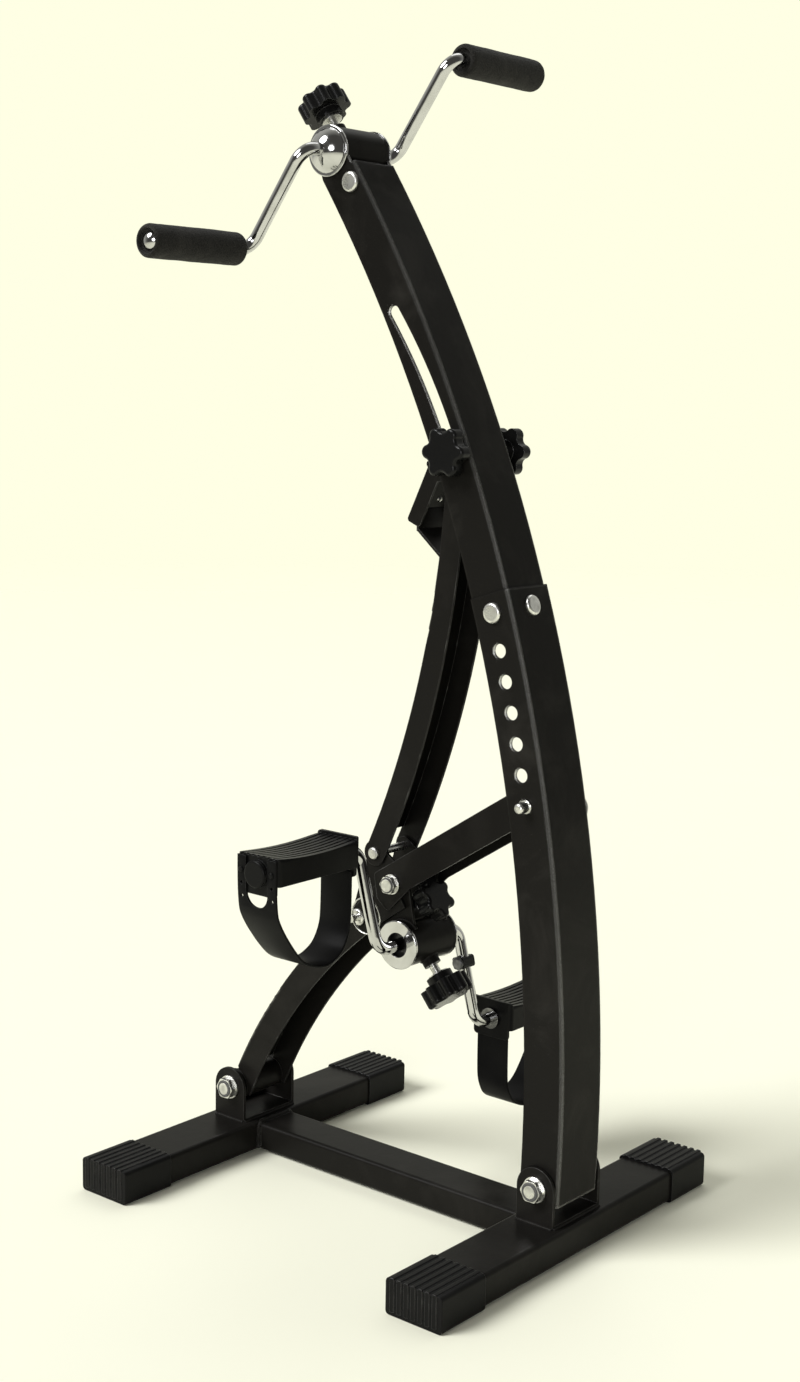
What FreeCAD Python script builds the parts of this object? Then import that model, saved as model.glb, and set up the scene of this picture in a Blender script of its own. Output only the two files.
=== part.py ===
import FreeCAD, Part
import math
import os

# An arm and leg pedal exerciser: two curved uprights of folded sheet on a stabiliser base,
# with a pair of foot pedals low down and a pair of hand grips at the top.
# The origin is on the floor under the middle of the base, +Z is up, and +X is the upright's side.
# Lengths are in millimetres and angles in degrees. A place is an (x, z) pair.

# Fits and tools
overrun = 2.0
running_fit = 0.1
seat_fit = 0.05
side_gap = 0.3
tiny = 0.001
quarter_turn = 90.0
full_turn = 360.0
hex_sides = 6
dome_share = 0.8
hex_corner_share = 0.28

# Base
hinge_span = 386.0
hinge_height = 65.0
base_width = 420.0
tube_width = 58.0
tube_height = 30.0
tube_wall = 2.0
tube_corner = 4.0
tube_lift = 1.75
beam_width = 48.0
beam_height = 28.0
weld_radius = 3.0
cap_wall = 1.65
cap_fit = 0.1
cap_end = 3.0
cap_length = 60.8
cap_corner = 4.0
cap_rib_height = 1.0
cap_rib_width = 4.6
cap_rib_count = 7

# Hinge brackets and bolts on the base
ear_sheet = 3.0
ear_width = 40.6
hinge_bolt_radius = 6.0
washer_thickness = 1.6
hinge_washer_radius = 12.0
hinge_nut_radius = 10.6
hinge_nut_height = 6.5
bolt_tail = 1.2

# Nested channels, each inside the next
bracket_half = 22.2
bracket_sheet = 3.0
link_sheet = 2.0
sheet_corner = 3.0

# Upright, its places measured along its middle line from the front hinge and from its joint
upright_radius = 1500.0
upright_open_depth = 21.0
upright_web_depth = 21.0
hinge_angle = -2.44
upright_foot = 13.9
lower_length = 540.9
sleeve_length = 40.0
top_past_slot = 154.9
web_top_gap = 11.5
corner_cut_depth = 14.0
corner_cut_rise = 12.0
hole_row_inset = 1.0
hole_top_inset = 51.8
hole_pitch = 28.0
hole_count = 6
hole_radius = 6.4
slot_past_joint = 130.9
slot_row_offset = 2.5
slot_radius = 600.0
slot_tilt_angle = -0.32
slot_length = 143.0
slot_width = 11.0
slot_end_gap = 0.5
joint_bolt_inset = 17.5
joint_bolt_radius = 4.0
joint_head_radius = 9.5
joint_head_height = 3.6
joint_nut_height = 4.0
top_bolt_inset = 26.2
top_bolt_offset = 6.0
bush_wall = 4.0
bush_end_gap = 0.3

# Crank barrels
barrel_radius = 22.5
barrel_wall = 3.0
barrel_half = 29.6
cup_radius = 23.5
cup_thickness = 2.4
cup_bore = 12.0
bushing_inner = 9.0
bushing_outer = 24.0
barrel_past_top = 13.1

# Leg, measured from the rear hinge along its curved web
leg_web_radius = 580.7
leg_depth = 28.5
leg_length = 330.4
leg_foot_angle = 155.9
leg_hinge_inset = 8.55
leg_bush_radius = 15.0
arm_bolt_inset = 3.2
leg_lug_radius = 12.0
leg_web_stop = 76.0
leg_web_gap = 18.0
leg_lug_blend_angle = 6.0

# Crank bracket, measured from the arm's bolt, its upright line held at an angle to the leg's radius
bracket_angle = -123.3
strut_bolt_back = 26.5
strut_bolt_up = 24.8
fold_pin_back = 43.3
fold_pin_down = 40.6
barrel_along = 24.5
barrel_leg_gap = 3.7
strut_lug = 9.0
arm_lug = 14.0
pin_lug = 12.0
barrel_lug = 16.0
lock_plate_out = 11.7
lock_plate_down = 25.1
lock_plate_half = 10.0
lock_angle = 33.0
spacer_radius = 10.0

# Bolts on the leg
arm_bolt_radius = 6.0
arm_washer_radius = 9.6
arm_nut_radius = 8.6
arm_nut_height = 6.0
strut_bolt_radius = 4.0
strut_head_radius = 6.0
strut_head_height = 3.0

# Arm, measured along and across the line from its bolt to its pin
arm_top = 17.8
arm_bottom = 12.2
arm_past_pin = 9.0
arm_web_start = 10.0
arm_lug_back = 24.6
arm_lug_shoulder = 15.6
arm_lug_dip = 4.6
arm_lug_heel = 19.6
arm_lug_drop = 20.9
arm_lug_front = 17.7
arm_corner = 5.0
arm_end_corner = 10.0
pin_slot_travel = 6.5
pin_slot_room = 1.5

# Strut
strut_radius = 937.0
strut_depth = 24.5
strut_web_start = 15.0
strut_lip_drop = 94.0
strut_lip_length = 34.0
strut_lip_angle = 139.8
strut_lip_sheet = 2.4
strut_hole_radius = 7.6
head_left = 29.4
head_left_drop = 11.4
head_foot_left = 54.2
head_foot_left_drop = 63.3
head_foot_right = 39.6
head_foot_right_drop = 69.4
head_waist = 18.1
head_waist_drop = 24.4
head_lobe = 12.5
head_corner = 3.0
screw_drop = 40.8
screw_radius = 3.2
screw_head = 2.0

# Slot bolt and its knobs
slot_bolt_radius = 4.0
slot_washer_radius = 11.0
slot_washer_thickness = 2.0
near_bolt_reach = 40.0
far_bolt_reach = 46.0
slot_skirt_radius = 11.0
near_skirt_height = 2.5
far_skirt_height = 14.0
slot_star_radius = 23.5
slot_star_height = 12.0
slot_star_lobe = 6.5
slot_star_valley = 6.0
slot_star_count = 6

# Tension knobs on the barrels
knob_boss_radius = 8.5
knob_boss_top = 29.0
knob_stud_radius = 4.0
rod_gap = 0.3
knob_washer_low = 38.5
knob_washer_high = 40.0
knob_washer_radius = 10.0
knob_skirt_radius = 13.0
knob_skirt_top = 48.0
knob_star_top = 66.0
knob_star_radius = 23.8
knob_star_lobe = 5.5
knob_star_valley = 4.0
knob_star_count = 8
knob_round = 3.0
hand_knob_angle = 126.0
foot_knob_angle = -50.0

# Lock knob on the crank bracket
lock_stud_radius = 4.0
lock_stud_tail = 9.0
lock_skirt_low = 4.0
lock_star_low = 12.0
lock_star_high = 27.0
lock_skirt_radius = 9.0
lock_star_radius = 21.0
lock_star_lobe = 5.5
lock_star_valley = 5.0
lock_star_count = 6

# Cranks
rod_radius = 6.0
bend_radius = 16.0
bend_low = 60.0
bend_high = 67.0
hand_crank_radius = 111.0
hand_angle = -125.8
hand_rod_end = 193.0
foot_crank_radius = 98.8
foot_angle = 102.0
foot_rod_end = 202.5
dome_radius = 15.0
dome_gap = 0.3
dome_height = 5.7
plug_radius = 8.5
plug_thickness = 2.5

# Hand grips
grip_radius = 13.5
grip_low = 82.6
grip_high = 197.0
grip_round = 4.0
grip_recess_radius = 9.8

# Pedals
pedal_low = 92.0
pedal_high = 200.0
pedal_width = 50.0
pedal_rise = 16.5
pedal_side_drop = 9.0
pedal_end_drop = 19.5
pedal_sag = 3.5
pedal_lip = 2.5
pedal_roof = 3.5
pedal_wall = 2.5
pedal_end_wall = 3.0
pedal_corner = 4.0
pedal_boss = 12.5
pedal_boss_height = 3.0
pedal_cap_height = 2.5
tread_rib_count = 8
tread_groove_width = 2.6
tread_groove_depth = 1.2
retainer_radius = 10.5
retainer_thickness = 2.4

# Straps, as shares of the pedal's length and of the strap's drop
strap_width = 47.0
strap_tail_width = 37.0
strap_thickness = 2.4
strap_drop = 97.0
strap_top = 8.0
strap_knee = 31.0
strap_inner_knee = 58.0
strap_inner_top = 14.0
strap_shares = (
    (0.907, 0.501),
    (0.731, 0.728),
    (0.602, 0.882),
    (0.333, 1.0),
    (0.148, 0.903),
    (0.065, 0.748),
)
strap_bend_share = 0.45
window_bottom = 35.6
window_gap = 0.5
strap_hole_radius = 1.7
strap_hole_low = 22.5
strap_hole_pitch = 12.0
strap_hole_count = 3
strap_stud_radius = 1.5
strap_stud_head = 2.7
strap_stud_head_height = 1.4

# Magnet clip on the far foot crank
clip_along = 36.0
clip_width = 14.0
clip_height = 12.0
clip_depth = 17.0
magnet_radius = 6.5
magnet_thickness = 3.0

# Pins with a pull ring
height_pin_radius = 6.1
height_pin_tip = 12.0
height_pin_tip_radius = 5.0
height_pin_tip_round = 3.0
fold_pin_radius = 5.0
pin_head_radius = 8.5
pin_head_height = 3.0
pin_stub_radius = 3.6
pin_stub_height = 8.0
ring_wire_radius = 1.2
ring_hole_gap = 0.9
height_ring_radius = 12.0
height_ring_angle = -60.0
fold_ring_radius = 17.0
fold_ring_angle = 18.9


def polar(centre, reach, angle):
    turn = math.radians(angle)
    return (centre[0] + reach * math.cos(turn), centre[1] + reach * math.sin(turn))


def shifted(place, right, up):
    return (place[0] + right, place[1] + up)


def along_line(place, angle, along, across):
    return polar(polar(place, along, angle), across, angle + quarter_turn)


def distance(first, second):
    return math.hypot(second[0] - first[0], second[1] - first[1])


def bearing(first, second):
    return math.degrees(math.atan2(second[1] - first[1], second[0] - first[0]))


def arc_angle(length, radius):
    return math.degrees(length / radius)


# Half widths of the nested channels, from the crank bracket out to the upright
strut_inner = bracket_half + side_gap
strut_half = strut_inner + link_sheet
leg_inner = strut_half + side_gap
leg_half = leg_inner + link_sheet
head_half = strut_half + link_sheet
arm_inner = leg_half + side_gap
arm_half = arm_inner + link_sheet
lower_inner = arm_half + side_gap
lower_half = lower_inner + link_sheet
upper_half = lower_inner
upper_inner = upper_half - link_sheet
ear_inner = lower_half + ear_sheet
ear_half = ear_inner + ear_sheet
bush_half = ear_inner - bush_end_gap

# Pivots and the centres of the curved members
front_hinge = (0.5 * hinge_span, hinge_height)
rear_hinge = (-0.5 * hinge_span, hinge_height)
upright_centre = polar(front_hinge, -upright_radius, hinge_angle)
upright_low_angle = hinge_angle - arc_angle(upright_foot, upright_radius)
joint_angle = hinge_angle + arc_angle(lower_length, upright_radius)
joint_bolt_angle = joint_angle - arc_angle(joint_bolt_inset, upright_radius)
slot_bolt_angle = joint_angle + arc_angle(slot_past_joint, upright_radius)
slot_low_angle = slot_bolt_angle + slot_tilt_angle
upright_top_angle = slot_bolt_angle + arc_angle(slot_length + top_past_slot, upright_radius)
web_top_angle = upright_top_angle - arc_angle(web_top_gap, upright_radius)
top_bolt_angle = upright_top_angle - arc_angle(top_bolt_inset, upright_radius)
hand_barrel_angle = upright_top_angle + arc_angle(barrel_past_top, upright_radius)
hole_top_angle = joint_angle - arc_angle(hole_top_inset, upright_radius)
hole_row_length = hole_pitch * (hole_count - 1)
hole_row_radius = upright_radius - hole_row_inset
hole_low_angle = hole_top_angle - arc_angle(hole_row_length, hole_row_radius)
height_pin_place = polar(upright_centre, hole_row_radius, hole_low_angle)
slot_place = polar(upright_centre, hole_row_radius + slot_row_offset, slot_bolt_angle)
slot_centre = polar(slot_place, -slot_radius, slot_low_angle)
hand_barrel_place = polar(upright_centre, upright_radius, hand_barrel_angle)
leg_centre = polar(rear_hinge, leg_hinge_inset - leg_web_radius, leg_foot_angle)
leg_open_radius = leg_web_radius - leg_depth
arm_bolt_angle = leg_foot_angle - arc_angle(leg_length, leg_web_radius)
arm_bolt_place = polar(leg_centre, leg_web_radius - arm_bolt_inset, arm_bolt_angle)
level = arm_bolt_angle + bracket_angle
strut_bolt_place = along_line(arm_bolt_place, level, -strut_bolt_back, strut_bolt_up)
fold_pin_place = along_line(arm_bolt_place, level, -fold_pin_back, -fold_pin_down)
lock_place = along_line(arm_bolt_place, level, lock_plate_out, -lock_plate_down)
barrel_angle = arm_bolt_angle + arc_angle(barrel_along, leg_open_radius)
foot_barrel_place = polar(leg_centre, leg_open_radius - cup_radius - barrel_leg_gap, barrel_angle)
arm_angle = bearing(arm_bolt_place, height_pin_place)
arm_length = distance(arm_bolt_place, height_pin_place)
strut_chord_angle = bearing(strut_bolt_place, slot_place)
strut_half_chord = 0.5 * distance(strut_bolt_place, slot_place)
strut_chord_middle = polar(strut_bolt_place, strut_half_chord, strut_chord_angle)
strut_centre_reach = math.sqrt(strut_radius ** 2 - strut_half_chord ** 2)
strut_centre = polar(strut_chord_middle, strut_centre_reach, strut_chord_angle + quarter_turn)
near_pedal_axis = polar(foot_barrel_place, foot_crank_radius, foot_angle)
far_pedal_axis = polar(foot_barrel_place, -foot_crank_radius, foot_angle)
near_grip_axis = polar(hand_barrel_place, hand_crank_radius, hand_angle)
far_grip_axis = polar(hand_barrel_place, -hand_crank_radius, hand_angle)

across = FreeCAD.Vector(0, 1, 0)
upward = FreeCAD.Vector(0, 0, 1)
origin = FreeCAD.Vector(0, 0, 0)


def at(place, y):
    return FreeCAD.Vector(place[0], y, place[1])


def heading(angle):
    return at(polar((0, 0), 1, angle), 0)


def pin(place, radius, y_low, y_high):
    """A cylinder along the Y axis."""
    return Part.makeCylinder(radius, y_high - y_low, at(place, y_low), across)


def sleeve(place, outer, inner, y_low, y_high):
    return pin(place, outer, y_low, y_high).cut(pin(place, inner, y_low - overrun, y_high + overrun))


def stud(place, angle, radius, low, high):
    """A cylinder in the XZ plane, along the given angle."""
    return Part.makeCylinder(radius, high - low, at(polar(place, low, angle), 0), heading(angle))


def extruded(edges, y_low, y_high):
    face = Part.Face(Part.Wire(edges))
    face.translate(y_low * across)
    return face.extrude((y_high - y_low) * across)


def arc(first, middle, last):
    return Part.Arc(first, middle, last).toShape()


def band(centre, inner, outer, low, high, y_low, y_high):
    """A ring sector about an axis along Y."""
    middle = 0.5 * (low + high)
    outside = [at(polar(centre, outer, angle), 0) for angle in (low, middle, high)]
    inside = [at(polar(centre, inner, angle), 0) for angle in (high, middle, low)]
    edges = [
        arc(*outside),
        Part.makeLine(outside[2], inside[0]),
        arc(*inside),
        Part.makeLine(inside[2], outside[0]),
    ]
    return extruded(edges, y_low, y_high)


def soft_edges(corners, radii, closed):
    """Straight runs through the corners, joined by tangent arcs of the given radii."""
    count = len(corners)
    starts = []
    ends = []
    bends = []
    for index, corner in enumerate(corners):
        loose = not closed and index in (0, count - 1)
        if loose or radii[index] == 0:
            starts.append(corner)
            ends.append(corner)
            bends.append(None)
            continue
        back = (corners[index - 1] - corner).normalize()
        ahead = (corners[(index + 1) % count] - corner).normalize()
        half_turn = 0.5 * (math.pi - back.getAngle(ahead))
        tangent = radii[index] * math.tan(half_turn)
        inset = radii[index] / math.cos(half_turn) - radii[index]
        starts.append(corner + tangent * back)
        ends.append(corner + tangent * ahead)
        bends.append(corner + inset * (back + ahead).normalize())
    edges = []
    for index in range(count):
        if bends[index]:
            edges.append(arc(starts[index], bends[index], ends[index]))
        following = (index + 1) % count
        if (closed or following) and (starts[following] - ends[index]).Length > tiny:
            edges.append(Part.makeLine(ends[index], starts[following]))
    return edges


def plate(places, radii, y_low, y_high):
    """A flat plate in the XZ plane with rounded corners."""
    return extruded(soft_edges([at(place, 0) for place in places], radii, True), y_low, y_high)


def belt(circles, y_low, y_high):
    """A plate whose edge runs like a belt round circles that are listed anticlockwise."""
    outward = []
    for index, (place, radius) in enumerate(circles):
        following, next_radius = circles[(index + 1) % len(circles)]
        lean = math.degrees(math.acos((radius - next_radius) / distance(place, following)))
        outward.append(bearing(place, following) - lean)
    edges = []
    for index, (place, radius) in enumerate(circles):
        following, next_radius = circles[(index + 1) % len(circles)]
        arriving = outward[index - 1]
        leaving = outward[index]
        swing = (leaving - arriving) % full_turn
        turn_angles = (arriving, arriving + 0.5 * swing, leaving)
        edges.append(arc(*[at(polar(place, radius, angle), 0) for angle in turn_angles]))
        run_start = at(polar(place, radius, leaving), 0)
        edges.append(Part.makeLine(run_start, at(polar(following, next_radius, leaving), 0)))
    return extruded(edges, y_low, y_high)


def both_sides(shape):
    return [shape, shape.mirror(origin, across)]


def softened(shape, size, wanted):
    """The shape with the edges that the test picks rounded off."""
    return shape.makeFillet(size, [edge for edge in shape.Edges if wanted(edge)])


def rim_at(y):
    """Picks the closed rims that lie flat at this y."""
    def wanted(edge):
        box = edge.BoundBox
        return edge.isClosed() and abs(box.YMin - y) < tiny and abs(box.YMax - y) < tiny
    return wanted


def domed_head(place, radius, y_seat, y_top):
    """A round head with a domed face, seated at y_seat."""
    head = pin(place, radius, min(y_seat, y_top), max(y_seat, y_top))
    return softened(head, dome_share * abs(y_top - y_seat), rim_at(y_top))


def hexagon(place, radius, y_low, y_high):
    """A hexagonal nut or head, its corners turned down to the radius."""
    sector = full_turn / hex_sides
    corner_reach = radius / math.cos(math.radians(hex_corner_share * sector))
    corners = [polar(place, corner_reach, sector * step) for step in range(hex_sides)]
    prism = plate(corners, [0] * hex_sides, y_low, y_high)
    return prism.common(pin(place, radius, y_low, y_high))


def swept(edges, profile):
    """A closed solid along a path of tangent edges."""
    return Part.Wire(edges).makePipeShell([profile], True, False)


def circle_wire(centre, direction, radius):
    return Part.Wire(Part.makeCircle(radius, centre, direction))


def channel(centre, open_radius, web_radius, low, high, half, sheet):
    """A curved channel of folded sheet, its web at web_radius and its long corners rounded."""
    inner, outer = sorted((open_radius, web_radius))
    body = band(centre, inner, outer, low, high, -half, half)

    def on_web(edge):
        return hasattr(edge.Curve, "Radius") and abs(edge.Curve.Radius - web_radius) < tiny

    body = softened(body, sheet_corner, on_web)
    toward_open = 1 if open_radius > web_radius else -1
    hollow = sorted((web_radius + toward_open * sheet, open_radius + toward_open * overrun))
    past = arc_angle(overrun, inner)
    return body.cut(band(centre, hollow[0], hollow[1], low - past, high + past, sheet - half, half - sheet))


def star_knob(radius, lobe, valley, count, low, high, skirt_radius, skirt_low, bore, bore_top):
    """A knob about the Z axis: a lobed head on a round skirt, with a blind bore."""
    half_pitch = math.pi / count
    lobe_reach = radius - lobe
    side = lobe_reach * math.sin(half_pitch)
    valley_reach = lobe_reach * math.cos(half_pitch) + math.sqrt((lobe + valley) ** 2 - side ** 2)
    edges = []
    for step in range(count):
        middle = 2 * step * half_pitch
        joints = []
        for sign in (-1, 1):
            lobe_centre = FreeCAD.Vector(math.cos(middle), math.sin(middle), 0) * lobe_reach
            gap = middle + sign * half_pitch
            valley_centre = FreeCAD.Vector(math.cos(gap), math.sin(gap), 0) * valley_reach
            joints.append(lobe_centre + (valley_centre - lobe_centre) * (lobe / (lobe + valley)))
        crest = FreeCAD.Vector(math.cos(middle), math.sin(middle), 0) * radius
        gap = middle + half_pitch
        dip = FreeCAD.Vector(math.cos(gap), math.sin(gap), 0) * (valley_reach - valley)
        turned = FreeCAD.Rotation(upward, math.degrees(2 * half_pitch))
        edges.append(arc(joints[0], crest, joints[1]))
        edges.append(arc(joints[1], dip, turned.multVec(joints[0])))
    outline = Part.Face(Part.Wire(edges))
    outline.translate(low * upward)
    head = outline.extrude((high - low) * upward)

    def on_top(edge):
        return abs(edge.BoundBox.ZMin - high) < tiny

    head = softened(head, knob_round, on_top)
    skirt = Part.makeCylinder(skirt_radius, low - skirt_low, skirt_low * upward)
    knob = head.fuse(skirt)
    return knob.cut(Part.makeCylinder(bore, bore_top - skirt_low + overrun, (skirt_low - overrun) * upward))


def stood(shape, place, y, direction):
    """A shape made about the Z axis, set at a place with that axis along the direction."""
    shape.Placement = FreeCAD.Placement(at(place, y), FreeCAD.Rotation(upward, direction))
    return shape


def rounded_bar(x_low, x_high, y_low, y_high, z_low, z_high, corner, along_x):
    """A bar with its four long edges rounded."""
    size = (x_high - x_low, y_high - y_low, z_high - z_low)
    bar = Part.makeBox(*size, FreeCAD.Vector(x_low, y_low, z_low))
    run = size[0] if along_x else size[1]

    def long_edge(edge):
        box = edge.BoundBox
        length = box.XLength if along_x else box.YLength
        return abs(length - run) < tiny

    return softened(bar, corner, long_edge)


def base_tube_bar(x, inset, y_reach):
    half = 0.5 * tube_width - inset
    low = tube_lift + inset
    high = tube_lift + tube_height - inset
    corner = tube_corner - inset
    return rounded_bar(x - half, x + half, -y_reach, y_reach, low, high, corner, False)


def stabiliser_tube(x):
    reach = 0.5 * base_width - cap_end - cap_rib_height
    return base_tube_bar(x, 0, reach).cut(base_tube_bar(x, tube_wall, reach + overrun))


def centre_beam():
    end = 0.5 * (hinge_span - tube_width)
    half = 0.5 * beam_width
    top = tube_lift + beam_height
    beam = rounded_bar(-end, end, -half, half, tube_lift, top, tube_corner, True)
    inner_corner = tube_corner - tube_wall
    low = tube_lift + tube_wall
    inner_half = half - tube_wall
    past = end + overrun
    hollow = rounded_bar(-past, past, -inner_half, inner_half, low, top - tube_wall, inner_corner, True)
    beads = []
    for side in (-1, 1):
        beads.append(pin((side * end, top), weld_radius, -half + tube_corner, half - tube_corner))
        for edge in (-half, half):
            start = FreeCAD.Vector(side * end, edge, tube_lift + tube_corner)
            beads.append(Part.makeCylinder(weld_radius, beam_height - 2 * tube_corner, start, upward))
    welded = beam.multiFuse(beads)
    tubes = [base_tube_bar(side * 0.5 * hinge_span, 0, half + 2 * weld_radius) for side in (-1, 1)]
    return welded.cut(hollow).cut(tubes[0]).cut(tubes[1])


def end_cap(x):
    """The cap on the near end of a stabiliser, with ribs over its top and down its end."""
    wall = cap_wall + cap_fit
    half = 0.5 * tube_width + wall
    top = tube_lift + tube_height + wall
    end = -0.5 * base_width
    face = end + cap_rib_height
    body = rounded_bar(x - half, x + half, face, end + cap_length, 0, top, cap_corner, False)

    def end_edge(edge):
        return edge.BoundBox.YMax < face + tiny

    body = softened(body, cap_rib_height, end_edge)
    pitch = 2 * (half - cap_corner) / cap_rib_count
    ribs = []
    for index in range(cap_rib_count):
        middle = x - half + cap_corner + (index + 0.5) * pitch
        left = middle - 0.5 * cap_rib_width
        right = middle + 0.5 * cap_rib_width
        ribs.append(rounded_bar(left, right, end, end + cap_length, cap_corner, top + cap_rib_height,
                                cap_rib_height, False))
    body = body.multiFuse(ribs)
    pocket_start = end + cap_rib_height + cap_end
    reach = cap_length + overrun
    pocket = base_tube_bar(x, -cap_fit, reach)
    pocket.translate((pocket_start + reach) * across)
    return body.cut(pocket)


def hinge_bracket(place):
    """A folded bracket on a stabiliser: two ears with round tops on a base plate."""
    half = 0.5 * ear_width
    floor = tube_lift + tube_height
    corners = [
        (place[0] - half, floor),
        (place[0] + half, floor),
        (place[0] + half, place[1] + half),
        (place[0] - half, place[1] + half),
    ]
    round_top = half - tiny
    body = plate(corners, [0, 0, round_top, round_top], -ear_half, ear_half)
    inside = Part.makeBox(ear_width + 2 * overrun, 2 * ear_inner, place[1] + half)
    inside.translate(FreeCAD.Vector(place[0] - half - overrun, -ear_inner, floor + ear_sheet))
    hole = pin(place, hinge_bolt_radius + seat_fit, -ear_half - overrun, ear_half + overrun)
    return body.cut(inside).cut(hole)


def hinge_bolt(place):
    """The bolt through a base hinge, with its head, washers and lock nut."""
    seat = ear_half + washer_thickness
    nut_end = seat + hinge_nut_height
    shank = pin(place, hinge_bolt_radius, -nut_end - bolt_tail, seat)
    head = hexagon(place, hinge_nut_radius, seat, nut_end)
    nut = hexagon(place, hinge_nut_radius, -nut_end, -seat)
    washers = [
        sleeve(place, hinge_washer_radius, hinge_bolt_radius, -seat, -ear_half),
        sleeve(place, hinge_washer_radius, hinge_bolt_radius, ear_half, seat),
    ]
    return shank.multiFuse([head, nut] + washers)


def bush(place, radius):
    return sleeve(place, radius, hinge_bolt_radius + running_fit, -bush_half, bush_half)


def through(place, radius):
    """A cutting cylinder through every nested channel."""
    return pin(place, radius, -ear_half, ear_half)


def lower_upright():
    open_radius = upright_radius - upright_open_depth
    web_radius = upright_radius + upright_web_depth
    body = channel(upright_centre, open_radius, web_radius, upright_low_angle, joint_angle,
                   lower_half, link_sheet)
    cuts = [through(front_hinge, hinge_bolt_radius + bush_wall + seat_fit)]
    for step in range(hole_count):
        angle = hole_low_angle + step * arc_angle(hole_pitch, hole_row_radius)
        cuts.append(through(polar(upright_centre, hole_row_radius, angle), hole_radius))
    joint_place = polar(upright_centre, upright_radius, joint_bolt_angle)
    cuts.append(through(joint_place, joint_bolt_radius + seat_fit))
    cuts.append(web_bolt_hole())
    return body.cut(cuts)


def web_bolt_hole():
    low = upright_radius
    high = upright_radius + upright_web_depth + overrun
    return stud(upright_centre, joint_bolt_angle, joint_bolt_radius + seat_fit, low, high)


def upper_upright():
    """The upper section, whose lower end sleeves into the lower section."""
    open_radius = upright_radius - upright_open_depth
    web_radius = upright_radius + upright_web_depth - link_sheet
    low = joint_angle - arc_angle(sleeve_length, upright_radius)
    body = channel(upright_centre, open_radius, web_radius, low, upright_top_angle, upper_half, link_sheet)
    past = arc_angle(upright_web_depth + barrel_radius, upright_radius)
    web_low = web_radius - sheet_corner
    web_top = band(upright_centre, web_low, web_radius + overrun, web_top_angle,
                   upright_top_angle + past, -ear_half, ear_half)
    corner_angle = upright_top_angle - arc_angle(corner_cut_rise, upright_radius)
    chamfer = [
        polar(upright_centre, open_radius - overrun, corner_angle),
        polar(upright_centre, open_radius + corner_cut_depth, upright_top_angle + past),
        polar(upright_centre, open_radius - overrun, upright_top_angle + past),
    ]
    corner = plate(chamfer, [0, 0, 0], -ear_half, ear_half)
    slot_low = slot_low_angle - arc_angle(slot_end_gap, slot_radius)
    slot_top = slot_low_angle + arc_angle(slot_length, slot_radius)
    slot_inner = slot_radius - 0.5 * slot_width
    slot_outer = slot_radius + 0.5 * slot_width
    cuts = [
        through(hand_barrel_place, barrel_radius),
        web_top,
        corner,
        band(slot_centre, slot_inner, slot_outer, slot_low, slot_top, -ear_half, ear_half),
        through(polar(slot_centre, slot_radius, slot_low), 0.5 * slot_width),
        through(polar(slot_centre, slot_radius, slot_top), 0.5 * slot_width),
        through(polar(upright_centre, upright_radius, joint_bolt_angle), joint_bolt_radius + seat_fit),
        through(top_bolt_place(), joint_bolt_radius + seat_fit),
        web_bolt_hole(),
    ]
    return body.cut(cuts)


def top_bolt_place():
    return polar(upright_centre, upright_radius + top_bolt_offset, top_bolt_angle)


def joint_bolts():
    """The domed bolts that clamp the two upright sections, one in each wall."""
    place = polar(upright_centre, upright_radius, joint_bolt_angle)
    head_top = -lower_half - joint_head_height
    head = domed_head(place, joint_head_radius, -lower_half, head_top)
    shank = pin(place, joint_bolt_radius, -lower_half, -upper_inner)
    nut = hexagon(place, 2 * joint_bolt_radius, -upper_inner, joint_nut_height - upper_inner)
    side_bolt = head.multiFuse([shank, nut])
    web_radius = upright_radius + upright_web_depth
    inside = web_radius - 2 * link_sheet - seat_fit
    front_head = domed_head((0, 0), joint_head_radius, 0, joint_head_height)
    front_shank = pin((0, 0), joint_bolt_radius, inside - web_radius, 0)
    nut_seat = inside - web_radius
    front_nut = hexagon((0, 0), 2 * joint_bolt_radius, nut_seat - joint_nut_height, nut_seat)
    front_bolt = front_head.multiFuse([front_shank, front_nut])
    turn = FreeCAD.Rotation(across, heading(joint_bolt_angle))
    front_place = at(polar(upright_centre, web_radius, joint_bolt_angle), 0)
    front_bolt.Placement = FreeCAD.Placement(front_place, turn)
    return both_sides(side_bolt) + [front_bolt]


def top_bolt():
    place = top_bolt_place()
    head = domed_head(place, joint_head_radius, -upper_half, -upper_half - joint_head_height)
    shank = pin(place, joint_bolt_radius, -upper_half, upper_half)
    nut = domed_head(place, joint_head_radius, upper_half, upper_half + joint_head_height)
    return head.multiFuse([shank, nut])


def barrel(place, knob_angle):
    """A crank barrel with the threaded boss of its tension knob."""
    tube = pin(place, barrel_radius, -barrel_half, barrel_half)
    boss_low = barrel_radius - barrel_wall
    boss = stud(place, knob_angle, knob_boss_radius, boss_low, knob_boss_top)
    bore = pin(place, boss_low, -barrel_half - overrun, barrel_half + overrun)
    thread = stud(place, knob_angle, knob_stud_radius + running_fit, 0, knob_boss_top + overrun)
    return tube.fuse(boss).cut([bore, thread])


def barrel_cups(place):
    """The bright ring at each end of a barrel."""
    end = barrel_half + cup_thickness
    disc = softened(pin(place, cup_radius, barrel_half, end), 0.5 * cup_thickness, rim_at(end))
    return both_sides(disc.cut(pin(place, cup_bore, barrel_half - overrun, end + overrun)))


def bushings(place):
    outer = barrel_radius - barrel_wall - seat_fit
    return both_sides(sleeve(place, outer, rod_radius + running_fit, bushing_inner, bushing_outer))


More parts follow.
